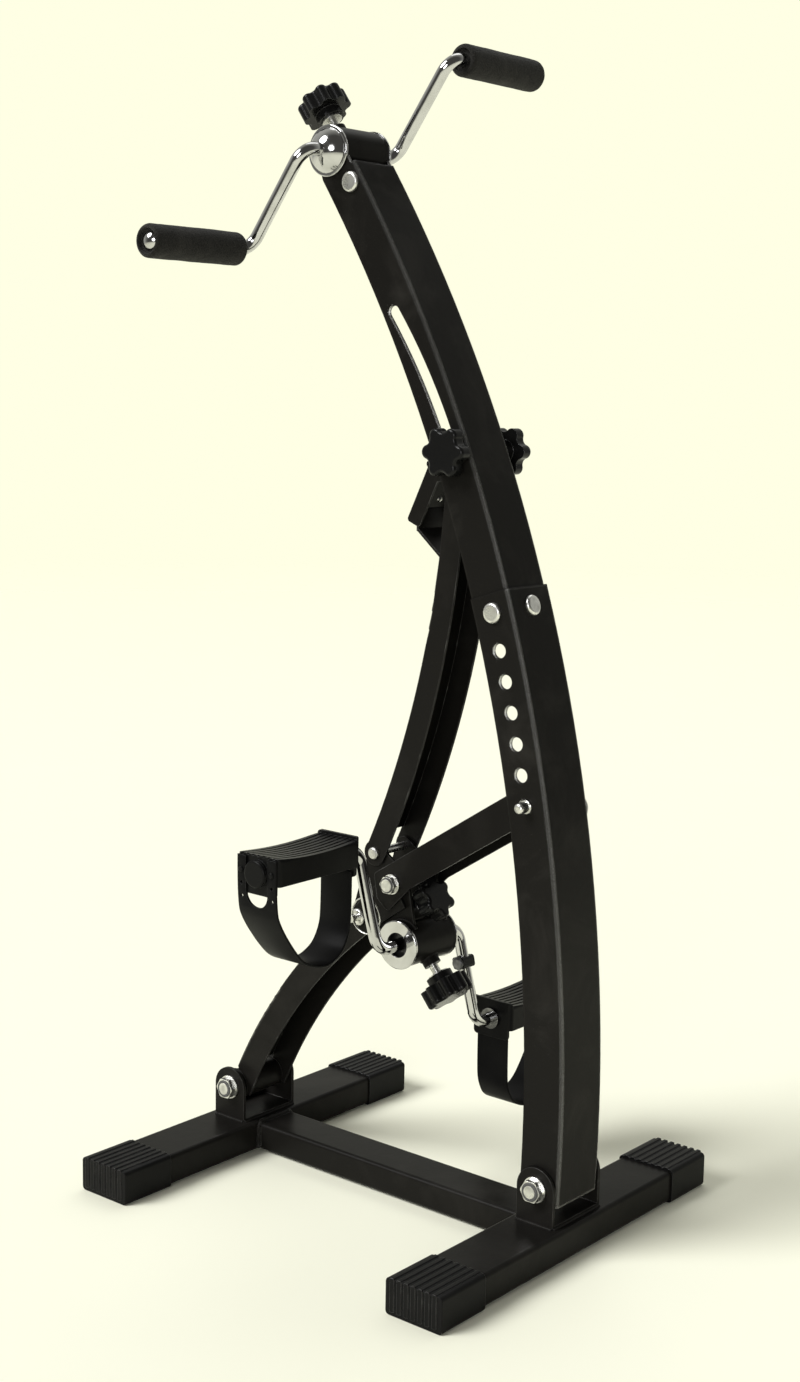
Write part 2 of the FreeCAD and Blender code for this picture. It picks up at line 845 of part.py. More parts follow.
def crank(place, throw, angle, end):
    """A bent rod: one straight run through the barrel and an arm and an axle on each side."""
    near = polar(place, throw, angle)
    far = polar(place, -throw, angle)
    corners = [
        at(near, -end),
        at(near, -bend_high),
        at(place, -bend_low),
        at(place, bend_low),
        at(far, bend_high),
        at(far, end),
    ]
    edges = soft_edges(corners, [bend_radius] * len(corners), False)
    return swept(edges, circle_wire(corners[0], across, rod_radius))


def hand_crank_caps():
    """The dome caps beside the hand barrel and the plugs in the rod's ends."""
    seat = barrel_half + cup_thickness + dome_gap
    top = seat + dome_height
    dome = domed_head(hand_barrel_place, dome_radius, seat, top)
    dome = dome.cut(pin(hand_barrel_place, rod_radius + seat_fit, seat - overrun, top + overrun))
    plug_end = hand_rod_end + plug_thickness
    near_plug = domed_head(near_grip_axis, plug_radius, -hand_rod_end, -plug_end)
    far_plug = domed_head(far_grip_axis, plug_radius, hand_rod_end, plug_end)
    return both_sides(dome) + [near_plug, far_plug]


def near_grip():
    """A foam grip that turns on the rod, with a recess round the rod's end plug."""
    foam = pin(near_grip_axis, grip_radius, -grip_high, -grip_low)
    foam = softened(foam, grip_round, rim_at(-grip_high))
    foam = softened(foam, grip_round, rim_at(-grip_low))
    bore = pin(near_grip_axis, rod_radius + running_fit, -grip_high - overrun, -grip_low + overrun)
    recess_start = -hand_rod_end + side_gap
    recess = pin(near_grip_axis, grip_recess_radius, -grip_high - overrun, recess_start)
    return foam.cut([bore, recess])


def far_copy(shape, near_place, far_place):
    """The same piece on the far side, moved from the near axle to the far one."""
    other = shape.mirror(origin, across)
    other.translate(at(far_place, 0) - at(near_place, 0))
    return other


def tension_knob(place, angle):
    knob = star_knob(knob_star_radius, knob_star_lobe, knob_star_valley, knob_star_count, knob_skirt_top,
                     knob_star_top, knob_skirt_radius, knob_washer_high, knob_stud_radius + seat_fit,
                     knob_star_top - knob_boss_radius)
    return stood(knob, place, 0, heading(angle))


def tension_stud(place, angle):
    """The threaded stud of a tension knob, with its washer; its tip stops just off the rod."""
    tip = rod_radius + rod_gap
    tail = knob_star_top - knob_boss_radius
    washer = stud(place, angle, knob_washer_radius, knob_washer_low, knob_washer_high)
    return stud(place, angle, knob_stud_radius, tip, tail).fuse(washer)


def leg():
    """The curved leg from the rear hinge up to the arm's bolt."""
    low = bearing(leg_centre, rear_hinge)
    body = channel(leg_centre, leg_open_radius, leg_web_radius, arm_bolt_angle, low, leg_half, link_sheet)
    stop = arm_bolt_angle + arc_angle(leg_web_stop, leg_web_radius)
    past = arm_bolt_angle - arc_angle(overrun, leg_web_radius)
    web_low = leg_web_radius - sheet_corner
    web_high = leg_web_radius + overrun
    web_cut = band(leg_centre, web_low, web_high, past, stop, -leg_inner, leg_inner)
    gap = arc_angle(leg_web_gap, leg_web_radius)
    foot_cut = band(leg_centre, web_low, web_high, low - gap, low + gap, -ear_half, ear_half)
    blend_angle = arm_bolt_angle + leg_lug_blend_angle
    blend_place = polar(leg_centre, leg_web_radius - leg_lug_radius, blend_angle)
    lug_circles = [(arm_bolt_place, leg_lug_radius), (blend_place, leg_lug_radius)]
    lugs = both_sides(belt(lug_circles, leg_inner, leg_half))
    body = body.multiFuse(lugs)
    cuts = [
        web_cut,
        foot_cut,
        through(rear_hinge, leg_bush_radius),
        through(arm_bolt_place, arm_bolt_radius + seat_fit),
        through(fold_pin_place, fold_pin_radius + running_fit),
    ]
    return body.cut(cuts)


def crank_bracket():
    """Two plates between leg, strut and foot barrel, joined by the lock knob's end plate."""
    plate_low = polar(lock_place, -lock_plate_half, lock_angle + quarter_turn)
    plate_high = polar(lock_place, lock_plate_half, lock_angle + quarter_turn)
    circles = [
        (strut_bolt_place, strut_lug),
        (fold_pin_place, pin_lug),
        (foot_barrel_place, barrel_lug),
        (arm_bolt_place, arm_lug),
    ]
    cheeks = both_sides(belt(circles, bracket_half - bracket_sheet, bracket_half))
    end_circles = [(plate_low, 0.5 * bracket_sheet), (plate_high, 0.5 * bracket_sheet)]
    end_plate = belt(end_circles, bracket_sheet - bracket_half, bracket_half - bracket_sheet)
    body = end_plate.multiFuse(cheeks)
    cuts = [
        through(foot_barrel_place, barrel_radius),
        through(strut_bolt_place, strut_bolt_radius + seat_fit),
        through(arm_bolt_place, arm_bolt_radius + seat_fit),
        through(fold_pin_place, fold_pin_radius + running_fit),
        stud(lock_place, lock_angle, lock_stud_radius + running_fit, -lock_plate_half, lock_plate_half),
    ]
    return body.cut(cuts)


def bracket_spacers():
    """Washers that keep the bracket centred in the leg, on the arm's bolt and the fold pin."""
    at_bolt = sleeve(arm_bolt_place, spacer_radius, arm_bolt_radius + seat_fit, bracket_half, leg_inner)
    at_pin = sleeve(fold_pin_place, spacer_radius, fold_pin_radius + running_fit, bracket_half, leg_inner)
    return both_sides(at_bolt) + both_sides(at_pin)


def arm_bolt():
    """The bolt that the arm turns on, with washers, head and lock nut outside the arm."""
    seat = arm_half + side_gap
    washer_end = seat + washer_thickness
    nut_end = washer_end + arm_nut_height
    shank = pin(arm_bolt_place, arm_bolt_radius, -nut_end - bolt_tail, washer_end)
    washers = both_sides(sleeve(arm_bolt_place, arm_washer_radius, arm_bolt_radius, seat, washer_end))
    heads = both_sides(hexagon(arm_bolt_place, arm_nut_radius, washer_end, nut_end))
    return shank.multiFuse(washers + heads)


def strut_bolt():
    seat = strut_half + side_gap
    head = domed_head(strut_bolt_place, strut_head_radius, seat, seat + strut_head_height)
    return pin(strut_bolt_place, strut_bolt_radius, -seat, seat).multiFuse(both_sides(head))


def arm():
    """The inverted channel that ties the leg to the upright's height pin."""
    def spot(along, up):
        return along_line(arm_bolt_place, arm_angle, along, up)

    tip = arm_length + arm_past_pin
    outline = [
        spot(-arm_lug_shoulder, arm_top),
        spot(-arm_lug_back, -arm_lug_dip),
        spot(-arm_lug_heel, -arm_lug_drop),
        spot(arm_lug_front, -arm_bottom),
        spot(tip, -arm_bottom),
        spot(tip, arm_top),
    ]
    radii = [arm_corner, arm_corner, arm_corner, arm_corner, arm_end_corner, arm_end_corner]
    body = plate(outline, radii, -arm_half, arm_half)
    hollow = [
        spot(-2 * arm_lug_back, -2 * arm_lug_drop),
        spot(tip + overrun, -2 * arm_lug_drop),
        spot(tip + overrun, arm_top - link_sheet),
        spot(arm_web_start, arm_top - link_sheet),
        spot(arm_web_start, arm_top + overrun),
        spot(-2 * arm_lug_back, arm_top + overrun),
    ]
    pin_end = spot(arm_length - pin_slot_travel, 0)
    pin_room = height_pin_radius + side_gap
    low_room = pin_room + pin_slot_room
    slot = belt([(height_pin_place, pin_room), (pin_end, low_room)], -ear_half, ear_half)
    cuts = [
        plate(hollow, [0] * len(hollow), -arm_inner, arm_inner),
        through(arm_bolt_place, arm_bolt_radius + running_fit),
        slot,
    ]
    return body.cut(cuts)


def strut():
    """The curved channel from the crank bracket up to the slot bolt, with a stop lip."""
    low = bearing(strut_centre, strut_bolt_place)
    high = bearing(strut_centre, slot_place)
    web_radius = strut_radius - 0.5 * strut_depth
    open_radius = strut_radius + 0.5 * strut_depth
    body = channel(strut_centre, open_radius, web_radius, low, high, strut_half, link_sheet)
    lip_angle = high - arc_angle(strut_lip_drop, web_radius)
    web_start = low + arc_angle(strut_web_start, web_radius)
    web_inside = web_radius + sheet_corner
    web_outside = web_radius - overrun
    past = arc_angle(overrun, web_radius)
    cuts = [
        band(strut_centre, web_outside, web_inside, low - past, web_start, -strut_inner, strut_inner),
        band(strut_centre, web_outside, web_inside, lip_angle, high + past, -strut_inner, strut_inner),
    ]
    body = body.cut(cuts)
    ends = both_sides(pin(strut_bolt_place, 0.5 * strut_depth, strut_inner, strut_half))
    ends += both_sides(pin(slot_place, 0.5 * strut_depth, strut_inner, strut_half))
    lip_root = polar(strut_centre, web_radius + link_sheet, lip_angle)
    lip_tip = polar(lip_root, strut_lip_length, strut_lip_angle)
    round_edge = 0.5 * strut_lip_sheet
    lip = belt([(lip_root, round_edge), (lip_tip, round_edge)], -strut_half, strut_half)
    body = body.multiFuse(ends + [lip])
    holes = [
        through(strut_bolt_place, strut_bolt_radius + running_fit),
        through(slot_place, strut_hole_radius),
        through(screw_place(), screw_radius - screw_head + seat_fit),
    ]
    return body.cut(holes)


def screw_place():
    """A screw in the strut's flange, close to its web, below the slot bolt."""
    angle = bearing(strut_centre, slot_place) - arc_angle(screw_drop, strut_radius)
    return polar(strut_centre, strut_radius - 0.5 * strut_depth + 2 * screw_radius, angle)


def strut_head():
    """The bracket over the strut's top, open at its right, held by the slot bolt."""
    left = shifted(slot_place, -head_left, -head_left_drop)
    foot_left = shifted(slot_place, -head_foot_left, -head_foot_left_drop)
    foot_right = shifted(slot_place, -head_foot_right, -head_foot_right_drop)
    waist = shifted(slot_place, -head_waist, -head_waist_drop)
    outline = [left, foot_left, foot_right, waist, slot_place]
    radii = [0, head_corner, head_corner, 0, 0]
    body = plate(outline, radii, -head_half, head_half)
    upper_circles = [(left, head_corner), (waist, head_corner), (slot_place, head_lobe)]
    upper = belt(upper_circles, -head_half, head_half)
    body = body.fuse(upper)
    inset = bearing(foot_left, left) - quarter_turn
    inner_left = polar(left, link_sheet + head_corner, inset)
    inner_foot = polar(foot_left, link_sheet + head_corner, inset)
    past_foot = polar(inner_foot, -strut_lip_length, inset + quarter_turn)
    past_left = polar(inner_left, strut_lip_length, inset + quarter_turn)
    low_right = shifted(past_foot, strut_lip_length + head_foot_left, 0)
    high_right = shifted(slot_place, 2 * head_lobe, strut_lip_length)
    hollow = plate([past_left, past_foot, low_right, high_right], [0, 0, 0, 0], -strut_half, strut_half)
    return body.cut([hollow, through(slot_place, strut_hole_radius)])


def strut_screw():
    """The small bright screw in each flange of the strut."""
    place = screw_place()
    shank = pin(place, screw_radius - screw_head, strut_inner, strut_half)
    head = domed_head(place, screw_radius, strut_half, strut_half + screw_head)
    return both_sides(shank.fuse(head))


def slot_bolt():
    return pin(slot_place, slot_bolt_radius, -near_bolt_reach, far_bolt_reach)


def slot_washers():
    low = upper_half + side_gap
    high = low + slot_washer_thickness
    return both_sides(sleeve(slot_place, slot_washer_radius, slot_bolt_radius + seat_fit, low, high))


def slot_knob(skirt_height, bolt_reach):
    """A star knob on the slot bolt, drawn on the far side."""
    skirt_low = upper_half + side_gap + slot_washer_thickness + side_gap
    star_low = skirt_low + skirt_height
    knob = star_knob(slot_star_radius, slot_star_lobe, slot_star_valley, slot_star_count, star_low,
                     star_low + slot_star_height, slot_skirt_radius, skirt_low,
                     slot_bolt_radius + running_fit, bolt_reach + side_gap)
    return stood(knob, slot_place, 0, across)


def lock_knob():
    knob = star_knob(lock_star_radius, lock_star_lobe, lock_star_valley, lock_star_count, lock_star_low,
                     lock_star_high, lock_skirt_radius, lock_skirt_low,
                     lock_stud_radius + seat_fit, lock_star_high - knob_round)
    return stood(knob, lock_place, 0, heading(lock_angle))


def lock_stud():
    tip = 0.5 * bracket_sheet + side_gap
    body = stud(lock_place, lock_angle, lock_stud_radius, -lock_stud_tail, lock_star_high - knob_round)
    collar = stud(lock_place, lock_angle, lock_skirt_radius, tip, lock_skirt_low)
    return body.fuse(collar)


def ring_pin(place, radius, tip_y, seat_y, side, ring_angle):
    """A lock pin along Y: a shank, a head at seat_y and a cross-drilled stub for the pull ring."""
    head_end = seat_y + side * pin_head_height
    stub_end = head_end + side * pin_stub_height
    shank = pin(place, radius, min(tip_y, seat_y), max(tip_y, seat_y))
    head = domed_head(place, pin_head_radius, seat_y, head_end)
    stub = pin(place, pin_stub_radius, min(head_end, stub_end), max(head_end, stub_end))
    reach = 2 * pin_stub_radius
    hole_start = at(polar(place, -reach, ring_angle + quarter_turn), ring_plane(seat_y, side))
    hole_radius_here = ring_wire_radius + ring_hole_gap
    hole = Part.makeCylinder(hole_radius_here, 2 * reach, hole_start, heading(ring_angle + quarter_turn))
    return shank.multiFuse([head, stub]).cut(hole)


def ring_plane(seat_y, side):
    return seat_y + side * (pin_head_height + 0.5 * pin_stub_height)


def pull_ring(place, seat_y, side, ring_radius, ring_angle):
    centre = at(polar(place, ring_radius, ring_angle), ring_plane(seat_y, side))
    return Part.makeTorus(ring_radius, ring_wire_radius, centre, across)


def height_pin():
    """The pin that sets the height, its rounded tip standing out on the near side."""
    seat = lower_half + side_gap
    body = ring_pin(height_pin_place, height_pin_radius, -seat, seat, 1, height_ring_angle)
    tip_end = -seat - height_pin_tip
    tip = pin(height_pin_place, height_pin_tip_radius, tip_end, -seat)
    return body.fuse(softened(tip, height_pin_tip_round, rim_at(tip_end)))


def height_pin_ring():
    return pull_ring(height_pin_place, lower_half + side_gap, 1, height_ring_radius, height_ring_angle)


def fold_pin():
    seat = leg_half + side_gap
    return ring_pin(fold_pin_place, fold_pin_radius, seat, -seat, -1, fold_ring_angle)


def fold_pin_ring():
    return pull_ring(fold_pin_place, -leg_half - side_gap, -1, fold_ring_radius, fold_ring_angle)


def side_view_edges(places, x):
    """Straight edges between (y, z) places, in the plane at x."""
    corners = [FreeCAD.Vector(x, y, z) for y, z in places]
    return [Part.makeLine(first, second) for first, second in zip(corners, corners[1:])]


def tread_arc(x, z):
    """The dished line of the tread between the pedal's ends."""
    middle = -0.5 * (pedal_low + pedal_high)
    return arc(
        FreeCAD.Vector(x, -pedal_high, z),
        FreeCAD.Vector(x, middle, z - pedal_sag),
        FreeCAD.Vector(x, -pedal_low, z),
    )


def tread_prism(x, width, z_line, z_side):
    """The space between the dished line of the tread and a level."""
    corners = [(-pedal_low, z_line), (-pedal_low, z_side), (-pedal_high, z_side), (-pedal_high, z_line)]
    edges = [tread_arc(x, z_line)] + side_view_edges(corners, x)
    face = Part.Face(Part.Wire(edges))
    return face.extrude(FreeCAD.Vector(width, 0, 0))


def near_pedal():
    """The ribbed pedal on the near axle: a hollow block with deeper end walls and a hub."""
    x, z = near_pedal_axis
    half = 0.5 * pedal_width
    top = z + pedal_rise
    side_low = z - pedal_side_drop
    lip_low = -pedal_low - pedal_end_wall

    def outline(height, corner, y_low, y_high):
        places = [(x - half, side_low), (x + half, side_low), (x + half, height), (x - half, height)]
        return plate(places, [0, 0, corner, corner], y_low, y_high)

    def tread_cut(left, width, z_line):
        room = outline(top + pedal_lip + overrun, 0, -pedal_high, lip_low)
        return tread_prism(left, width, z_line, top + pedal_lip + overrun).common(room)

    def upright_corner(edge):
        box = edge.BoundBox
        return box.ZLength > pedal_rise and box.XLength < tiny and box.YLength < tiny

    block = softened(outline(top + pedal_lip, 0, -pedal_high, -pedal_low), pedal_corner, upright_corner)
    tread_end = outline(top, pedal_corner, -pedal_high, lip_low)
    lip = outline(top + pedal_lip, pedal_corner, lip_low, -pedal_low)
    block = block.common(tread_end.fuse(lip)).cut(tread_cut(x - half, pedal_width, top))
    inner_length = pedal_high - pedal_low - 2 * pedal_end_wall
    inner_top = top - pedal_sag - pedal_roof
    inner_low = side_low - overrun
    hollow = Part.makeBox(pedal_width - 2 * pedal_wall, inner_length, inner_top - inner_low)
    hollow.translate(FreeCAD.Vector(x - half + pedal_wall, -pedal_high + pedal_end_wall, inner_low))
    block = block.cut(hollow)
    pieces = []
    inset = half - pedal_corner
    wall_foot = z - pedal_end_drop
    corners = [(x - inset, wall_foot), (x + inset, wall_foot), (x + inset, z), (x - inset, z)]
    for wall_low in (-pedal_high, -pedal_low - pedal_end_wall):
        wall_high = wall_low + pedal_end_wall
        pieces.append(plate(corners, [pedal_corner, pedal_corner, 0, 0], wall_low, wall_high))
    pieces.append(pin(near_pedal_axis, pedal_boss, -pedal_high - pedal_boss_height, -pedal_low))
    stud_seat = -pedal_high - strap_thickness
    for place in strap_hole_places()[-2:]:
        pieces.append(pin(place, strap_stud_radius, stud_seat, -pedal_high))
        pieces.append(domed_head(place, strap_stud_head, stud_seat, stud_seat - strap_stud_head_height))
    block = block.multiFuse(pieces)
    bore_end = -pedal_high - pedal_boss_height - overrun
    cuts = [pin(near_pedal_axis, rod_radius + running_fit, bore_end, -pedal_low + overrun)]
    pitch = pedal_width / tread_rib_count
    for index in range(1, tread_rib_count):
        left = x - half + index * pitch - 0.5 * tread_groove_width
        cuts.append(tread_cut(left, tread_groove_width, top - tread_groove_depth))
    return block.cut(cuts)


def strap_hole_places():
    """The strap's hole places on both legs of its fork, the lowest pair first."""
    x, z = near_pedal_axis
    aside = 0.5 * (0.5 * strap_width + pedal_boss + window_gap)
    places = []
    for step in range(strap_hole_count):
        level = z - strap_hole_low + step * strap_hole_pitch
        places += [(x - aside, level), (x + aside, level)]
    return places


def near_strap():
    """The foot strap: a loop under the pedal, forked round the hub and narrower at its inner end."""
    x, z = near_pedal_axis
    half_thickness = 0.5 * strap_thickness
    outer = -pedal_high - half_thickness
    inner = -pedal_low - pedal_end_wall - half_thickness
    length = pedal_high - pedal_low
    left = x - 0.5 * strap_width
    places = [(outer, z + strap_top), (outer, z - strap_knee)]
    for along_share, drop_share in strap_shares:
        places.append((-pedal_low - along_share * length, z - drop_share * strap_drop))
    places += [(inner, z - strap_inner_knee), (inner, z - strap_inner_top)]
    corners = [FreeCAD.Vector(left, y, level) for y, level in places]
    radii = [0]
    for before, corner, after in zip(corners, corners[1:], corners[2:]):
        back = before - corner
        ahead = after - corner
        half_turn = 0.5 * (math.pi - back.getAngle(ahead))
        radii.append(strap_bend_share * min(back.Length, ahead.Length) / math.tan(half_turn))
    radii.append(0)
    section = [(outer - half_thickness, z + strap_top), (outer + half_thickness, z + strap_top)]
    section_corners = [FreeCAD.Vector(left, y, level) for y, level in section]
    section_corners += [corner + FreeCAD.Vector(strap_width, 0, 0) for corner in reversed(section_corners)]
    profile = Part.makePolygon(section_corners + section_corners[:1])
    band_body = swept(soft_edges(corners, radii, False), profile)
    floor_level = z - strap_drop - overrun
    taper_corners = [
        FreeCAD.Vector(x - 0.5 * strap_width, outer - overrun, floor_level),
        FreeCAD.Vector(x + 0.5 * strap_width, outer - overrun, floor_level),
        FreeCAD.Vector(x + 0.5 * strap_tail_width, inner + overrun, floor_level),
        FreeCAD.Vector(x - 0.5 * strap_tail_width, inner + overrun, floor_level),
    ]
    taper_face = Part.Face(Part.makePolygon(taper_corners + taper_corners[:1]))
    taper = taper_face.extrude((strap_drop + strap_top + 2 * overrun) * upward)
    band_body = band_body.common(taper)
    y_low = outer - strap_knee
    y_high = outer + strap_knee
    window_radius = pedal_boss + window_gap
    window_floor = (x, z - window_bottom + window_radius)
    window = belt([(window_floor, window_radius), (shifted(window_floor, 0, window_bottom), window_radius)],
                  y_low, y_high)
    holes = [pin(place, strap_hole_radius, y_low, y_high) for place in strap_hole_places()]
    return band_body.cut([window] + holes)


def near_pedal_cap():
    seat = -pedal_high - pedal_boss_height
    return domed_head(near_pedal_axis, pedal_boss, seat, seat - pedal_cap_height)


def foot_retainers():
    """The washer on each foot axle that keeps the pedal from sliding in."""
    high = pedal_low - side_gap
    near = sleeve(near_pedal_axis, retainer_radius, rod_radius + seat_fit, -high, retainer_thickness - high)
    return [near, far_copy(near, near_pedal_axis, far_pedal_axis)]


def clip_place():
    """Where the magnet clip's middle sits on the far foot crank's arm."""
    place = polar(foot_barrel_place, -clip_along, foot_angle)
    return place, bend_low + (bend_high - bend_low) * clip_along / foot_crank_radius


def magnet_clip():
    place, y = clip_place()
    half = 0.5 * clip_width
    tall = 0.5 * clip_height
    corners = [along_line(place, foot_angle, up, aside) for up, aside in
               ((-tall, -half), (tall, -half), (tall, half), (-tall, half))]
    front = y - 0.5 * clip_depth
    block = plate(corners, [sheet_corner] * len(corners), front, front + clip_depth)
    rod = crank(foot_barrel_place, foot_crank_radius, foot_angle, foot_rod_end)
    return block.cut(rod)


def magnet_disc():
    place, y = clip_place()
    front = y - 0.5 * clip_depth
    return domed_head(place, magnet_radius, front, front - magnet_thickness)


def save(name, *solids):
    shape = solids[0] if len(solids) == 1 else Part.makeCompound(list(solids))
    shape.exportStep("parts/" + name + ".step")


def save_base():
    save("rear_stabiliser_tube", stabiliser_tube(rear_hinge[0]))
    save("front_stabiliser_tube", stabiliser_tube(front_hinge[0]))
    save("centre_beam", centre_beam())
    for label, place in (("rear", rear_hinge), ("front", front_hinge)):
        near, far = both_sides(end_cap(place[0]))
        save(label + "_near_end_cap", near)
        save(label + "_far_end_cap", far)
        save(label + "_hinge_bracket", hinge_bracket(place))
        save(label + "_hinge_bolt", hinge_bolt(place))


def save_upright():
    save("lower_upright", lower_upright())
    save("upper_upright", upper_upright())
    save("upright_bush", bush(front_hinge, hinge_bolt_radius + bush_wall))
    save("joint_bolts", *joint_bolts())
    save("top_bolt", top_bolt())
    save("hand_barrel", barrel(hand_barrel_place, hand_knob_angle))
    save("hand_cups", *barrel_cups(hand_barrel_place))
    save("hand_bushings", *bushings(hand_barrel_place))
    save("height_pin", height_pin())
    save("height_pin_ring", height_pin_ring())
    save("slot_bolt", slot_bolt())
    save("slot_washers", *slot_washers())
    save("near_slot_knob", slot_knob(near_skirt_height, near_bolt_reach).mirror(origin, across))
    save("far_slot_knob", slot_knob(far_skirt_height, far_bolt_reach))


def save_hand_drive():
    grip = near_grip()
    save("hand_crank", crank(hand_barrel_place, hand_crank_radius, hand_angle, hand_rod_end))
    save("hand_crank_caps", *hand_crank_caps())
    save("near_grip", grip)
    save("far_grip", far_copy(grip, near_grip_axis, far_grip_axis))
    save("hand_knob", tension_knob(hand_barrel_place, hand_knob_angle))
    save("hand_knob_stud", tension_stud(hand_barrel_place, hand_knob_angle))


def save_leg():
    save("leg", leg())
    save("leg_bush", bush(rear_hinge, leg_bush_radius))
    save("crank_bracket", crank_bracket())
    save("bracket_spacers", *bracket_spacers())
    save("arm_bolt", arm_bolt())
    save("strut_bolt", strut_bolt())
    save("fold_pin", fold_pin())
    save("fold_pin_ring", fold_pin_ring())
    save("lock_knob", lock_knob())
    save("lock_knob_stud", lock_stud())
    save("arm", arm())
    save("strut", strut())
    save("strut_head", strut_head())
    save("strut_screws", *strut_screw())


def save_foot_drive():
    save("foot_barrel", barrel(foot_barrel_place, foot_knob_angle))
    save("foot_cups", *barrel_cups(foot_barrel_place))
    save("foot_bushings", *bushings(foot_barrel_place))
    save("foot_crank", crank(foot_barrel_place, foot_crank_radius, foot_angle, foot_rod_end))
    save("foot_retainers", *foot_retainers())
    save("magnet_clip", magnet_clip())
    save("magnet_disc", magnet_disc())
    save("foot_knob", tension_knob(foot_barrel_place, foot_knob_angle))
    save("foot_knob_stud", tension_stud(foot_barrel_place, foot_knob_angle))
    for label, piece in (("pedal", near_pedal()), ("strap", near_strap()), ("pedal_cap", near_pedal_cap())):
        save("near_" + label, piece)
        save("far_" + label, far_copy(piece, near_pedal_axis, far_pedal_axis))


os.makedirs("parts", exist_ok=True)
save_base()
save_upright()
save_hand_drive()
save_leg()
save_foot_drive()
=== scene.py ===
import math
import bmesh
import bpy
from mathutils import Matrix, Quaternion, Vector, noise


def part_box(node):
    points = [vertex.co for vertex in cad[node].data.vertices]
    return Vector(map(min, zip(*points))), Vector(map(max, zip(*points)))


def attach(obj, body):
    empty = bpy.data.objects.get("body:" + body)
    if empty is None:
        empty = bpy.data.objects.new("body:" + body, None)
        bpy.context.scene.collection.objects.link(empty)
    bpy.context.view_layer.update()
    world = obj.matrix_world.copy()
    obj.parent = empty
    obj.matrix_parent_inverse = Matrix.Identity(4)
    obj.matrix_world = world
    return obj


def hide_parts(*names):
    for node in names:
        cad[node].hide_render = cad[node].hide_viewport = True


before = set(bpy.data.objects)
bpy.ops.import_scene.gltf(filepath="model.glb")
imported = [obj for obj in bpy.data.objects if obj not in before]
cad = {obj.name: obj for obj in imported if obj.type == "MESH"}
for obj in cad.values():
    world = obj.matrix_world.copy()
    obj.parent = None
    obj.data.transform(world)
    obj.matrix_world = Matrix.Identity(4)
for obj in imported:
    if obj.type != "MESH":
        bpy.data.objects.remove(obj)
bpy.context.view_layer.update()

# Camera, standing to the right of the exerciser and in front of its near side, at grip height.
# It looks down by some 9 degrees and is turned a little about its own line of sight.
photo_height = 1382
focal_length = 1927.1
camera_azimuth = math.radians(39.62)
camera_pitch = math.radians(8.76)
camera_roll = math.radians(1.04)
camera_place = (1.1443, -1.38995, 0.77136)
camera_data = bpy.data.cameras.new("camera")
camera_data.lens = camera_data.sensor_width * focal_length / photo_height
camera = bpy.data.objects.new("camera", camera_data)
bpy.context.scene.collection.objects.link(camera)
bpy.context.scene.camera = camera
backward = Vector((
    math.sin(camera_azimuth) * math.cos(camera_pitch),
    -math.cos(camera_azimuth) * math.cos(camera_pitch),
    math.sin(camera_pitch),
))
camera.location = camera_place
camera.rotation_mode = "QUATERNION"
level_view = (-backward).to_track_quat("-Z", "Y")
camera.rotation_quaternion = level_view @ Quaternion((0, 0, 1), camera_roll)

# Studio floor: a pale sheet of paper that fades into the pale surroundings a few metres away.
# It takes the exerciser's soft shadow.
paper_color = (0.97, 0.97, 0.81, 1)
floor_reach = 9.0
floor_sides = 64
fade_start = 2.2
fade_end = 7.0


def shader_node(tree, kind, sockets=None, **settings):
    """A shader node with its settings made and its sockets set or linked."""
    node = tree.nodes.new("ShaderNode" + kind)
    for name, value in settings.items():
        setattr(node, name, value)
    for name, value in (sockets or {}).items():
        if isinstance(value, bpy.types.NodeSocket):
            tree.links.new(value, node.inputs[name])
        else:
            node.inputs[name].default_value = value
    return node


def remapped(tree, value, low, high, to_low=0.0, to_high=1.0):
    """The value from low to high as one from to_low to to_high, held at both ends."""
    return shader_node(tree, "MapRange", {
        "Value": value, "From Min": low, "From Max": high, "To Min": to_low, "To Max": to_high,
    }).outputs[0]


def new_material(name):
    """An empty material with its output node."""
    material = bpy.data.materials.new(name)
    material.use_nodes = True
    tree = material.node_tree
    tree.nodes.clear()
    return material, tree, tree.nodes.new("ShaderNodeOutputMaterial").inputs["Surface"]


def new_object(name, mesh, material, angle=40):
    """An object of the mesh, its faces smooth up to the angle."""
    mesh.shade_smooth()
    mesh.set_sharp_from_angle(angle=math.radians(angle))
    mesh.materials.append(material)
    piece = bpy.data.objects.new(name, mesh)
    bpy.context.scene.collection.objects.link(piece)
    return piece


paper, tree, surface = new_material("paper")
place = shader_node(tree, "TexCoord").outputs["Object"]
reach = shader_node(tree, "VectorMath", {0: place}, operation="LENGTH").outputs["Value"]
fade = remapped(tree, reach, fade_start, fade_end)
sheet = shader_node(tree, "BsdfPrincipled", {
    "Base Color": paper_color, "Roughness": 0.9, "Specular IOR Level": 0.1,
})
clear = shader_node(tree, "BsdfTransparent")
faded = shader_node(tree, "MixShader", {0: fade, 1: sheet.outputs[0], 2: clear.outputs[0]})
tree.links.new(faded.outputs[0], surface)
floor_mesh = bpy.data.meshes.new("floor")
disc = bmesh.new()
bmesh.ops.create_circle(disc, cap_ends=True, segments=floor_sides, radius=floor_reach)
disc.to_mesh(floor_mesh)
floor = new_object("floor", floor_mesh, paper)

# Studio light: the pale backdrop behind, a dim room behind the camera, a large lamp from the near
# left, a low one beside the camera for the bright bends and the upright's rounded corner, and a
# weak one from above and behind.
backdrop_color = (1.0, 1.0, 0.78, 1)
backdrop_sides = (-0.5, -0.85)
backdrop_top = (0.36, 0.18)
backdrop_in_mirrors = 0.55
room_color = (0.08, 0.078, 0.072, 1)
wall_color = (0.5, 0.5, 0.46, 1)
wall_to_room = (-0.35, 0.35)
lamps = (
    ("key_lamp", -30, 42, 2.95, 30),
    ("front_lamp", 26, 9, 0.95, 24),
    ("back_lamp", 205, 58, 0.4, 40),
)


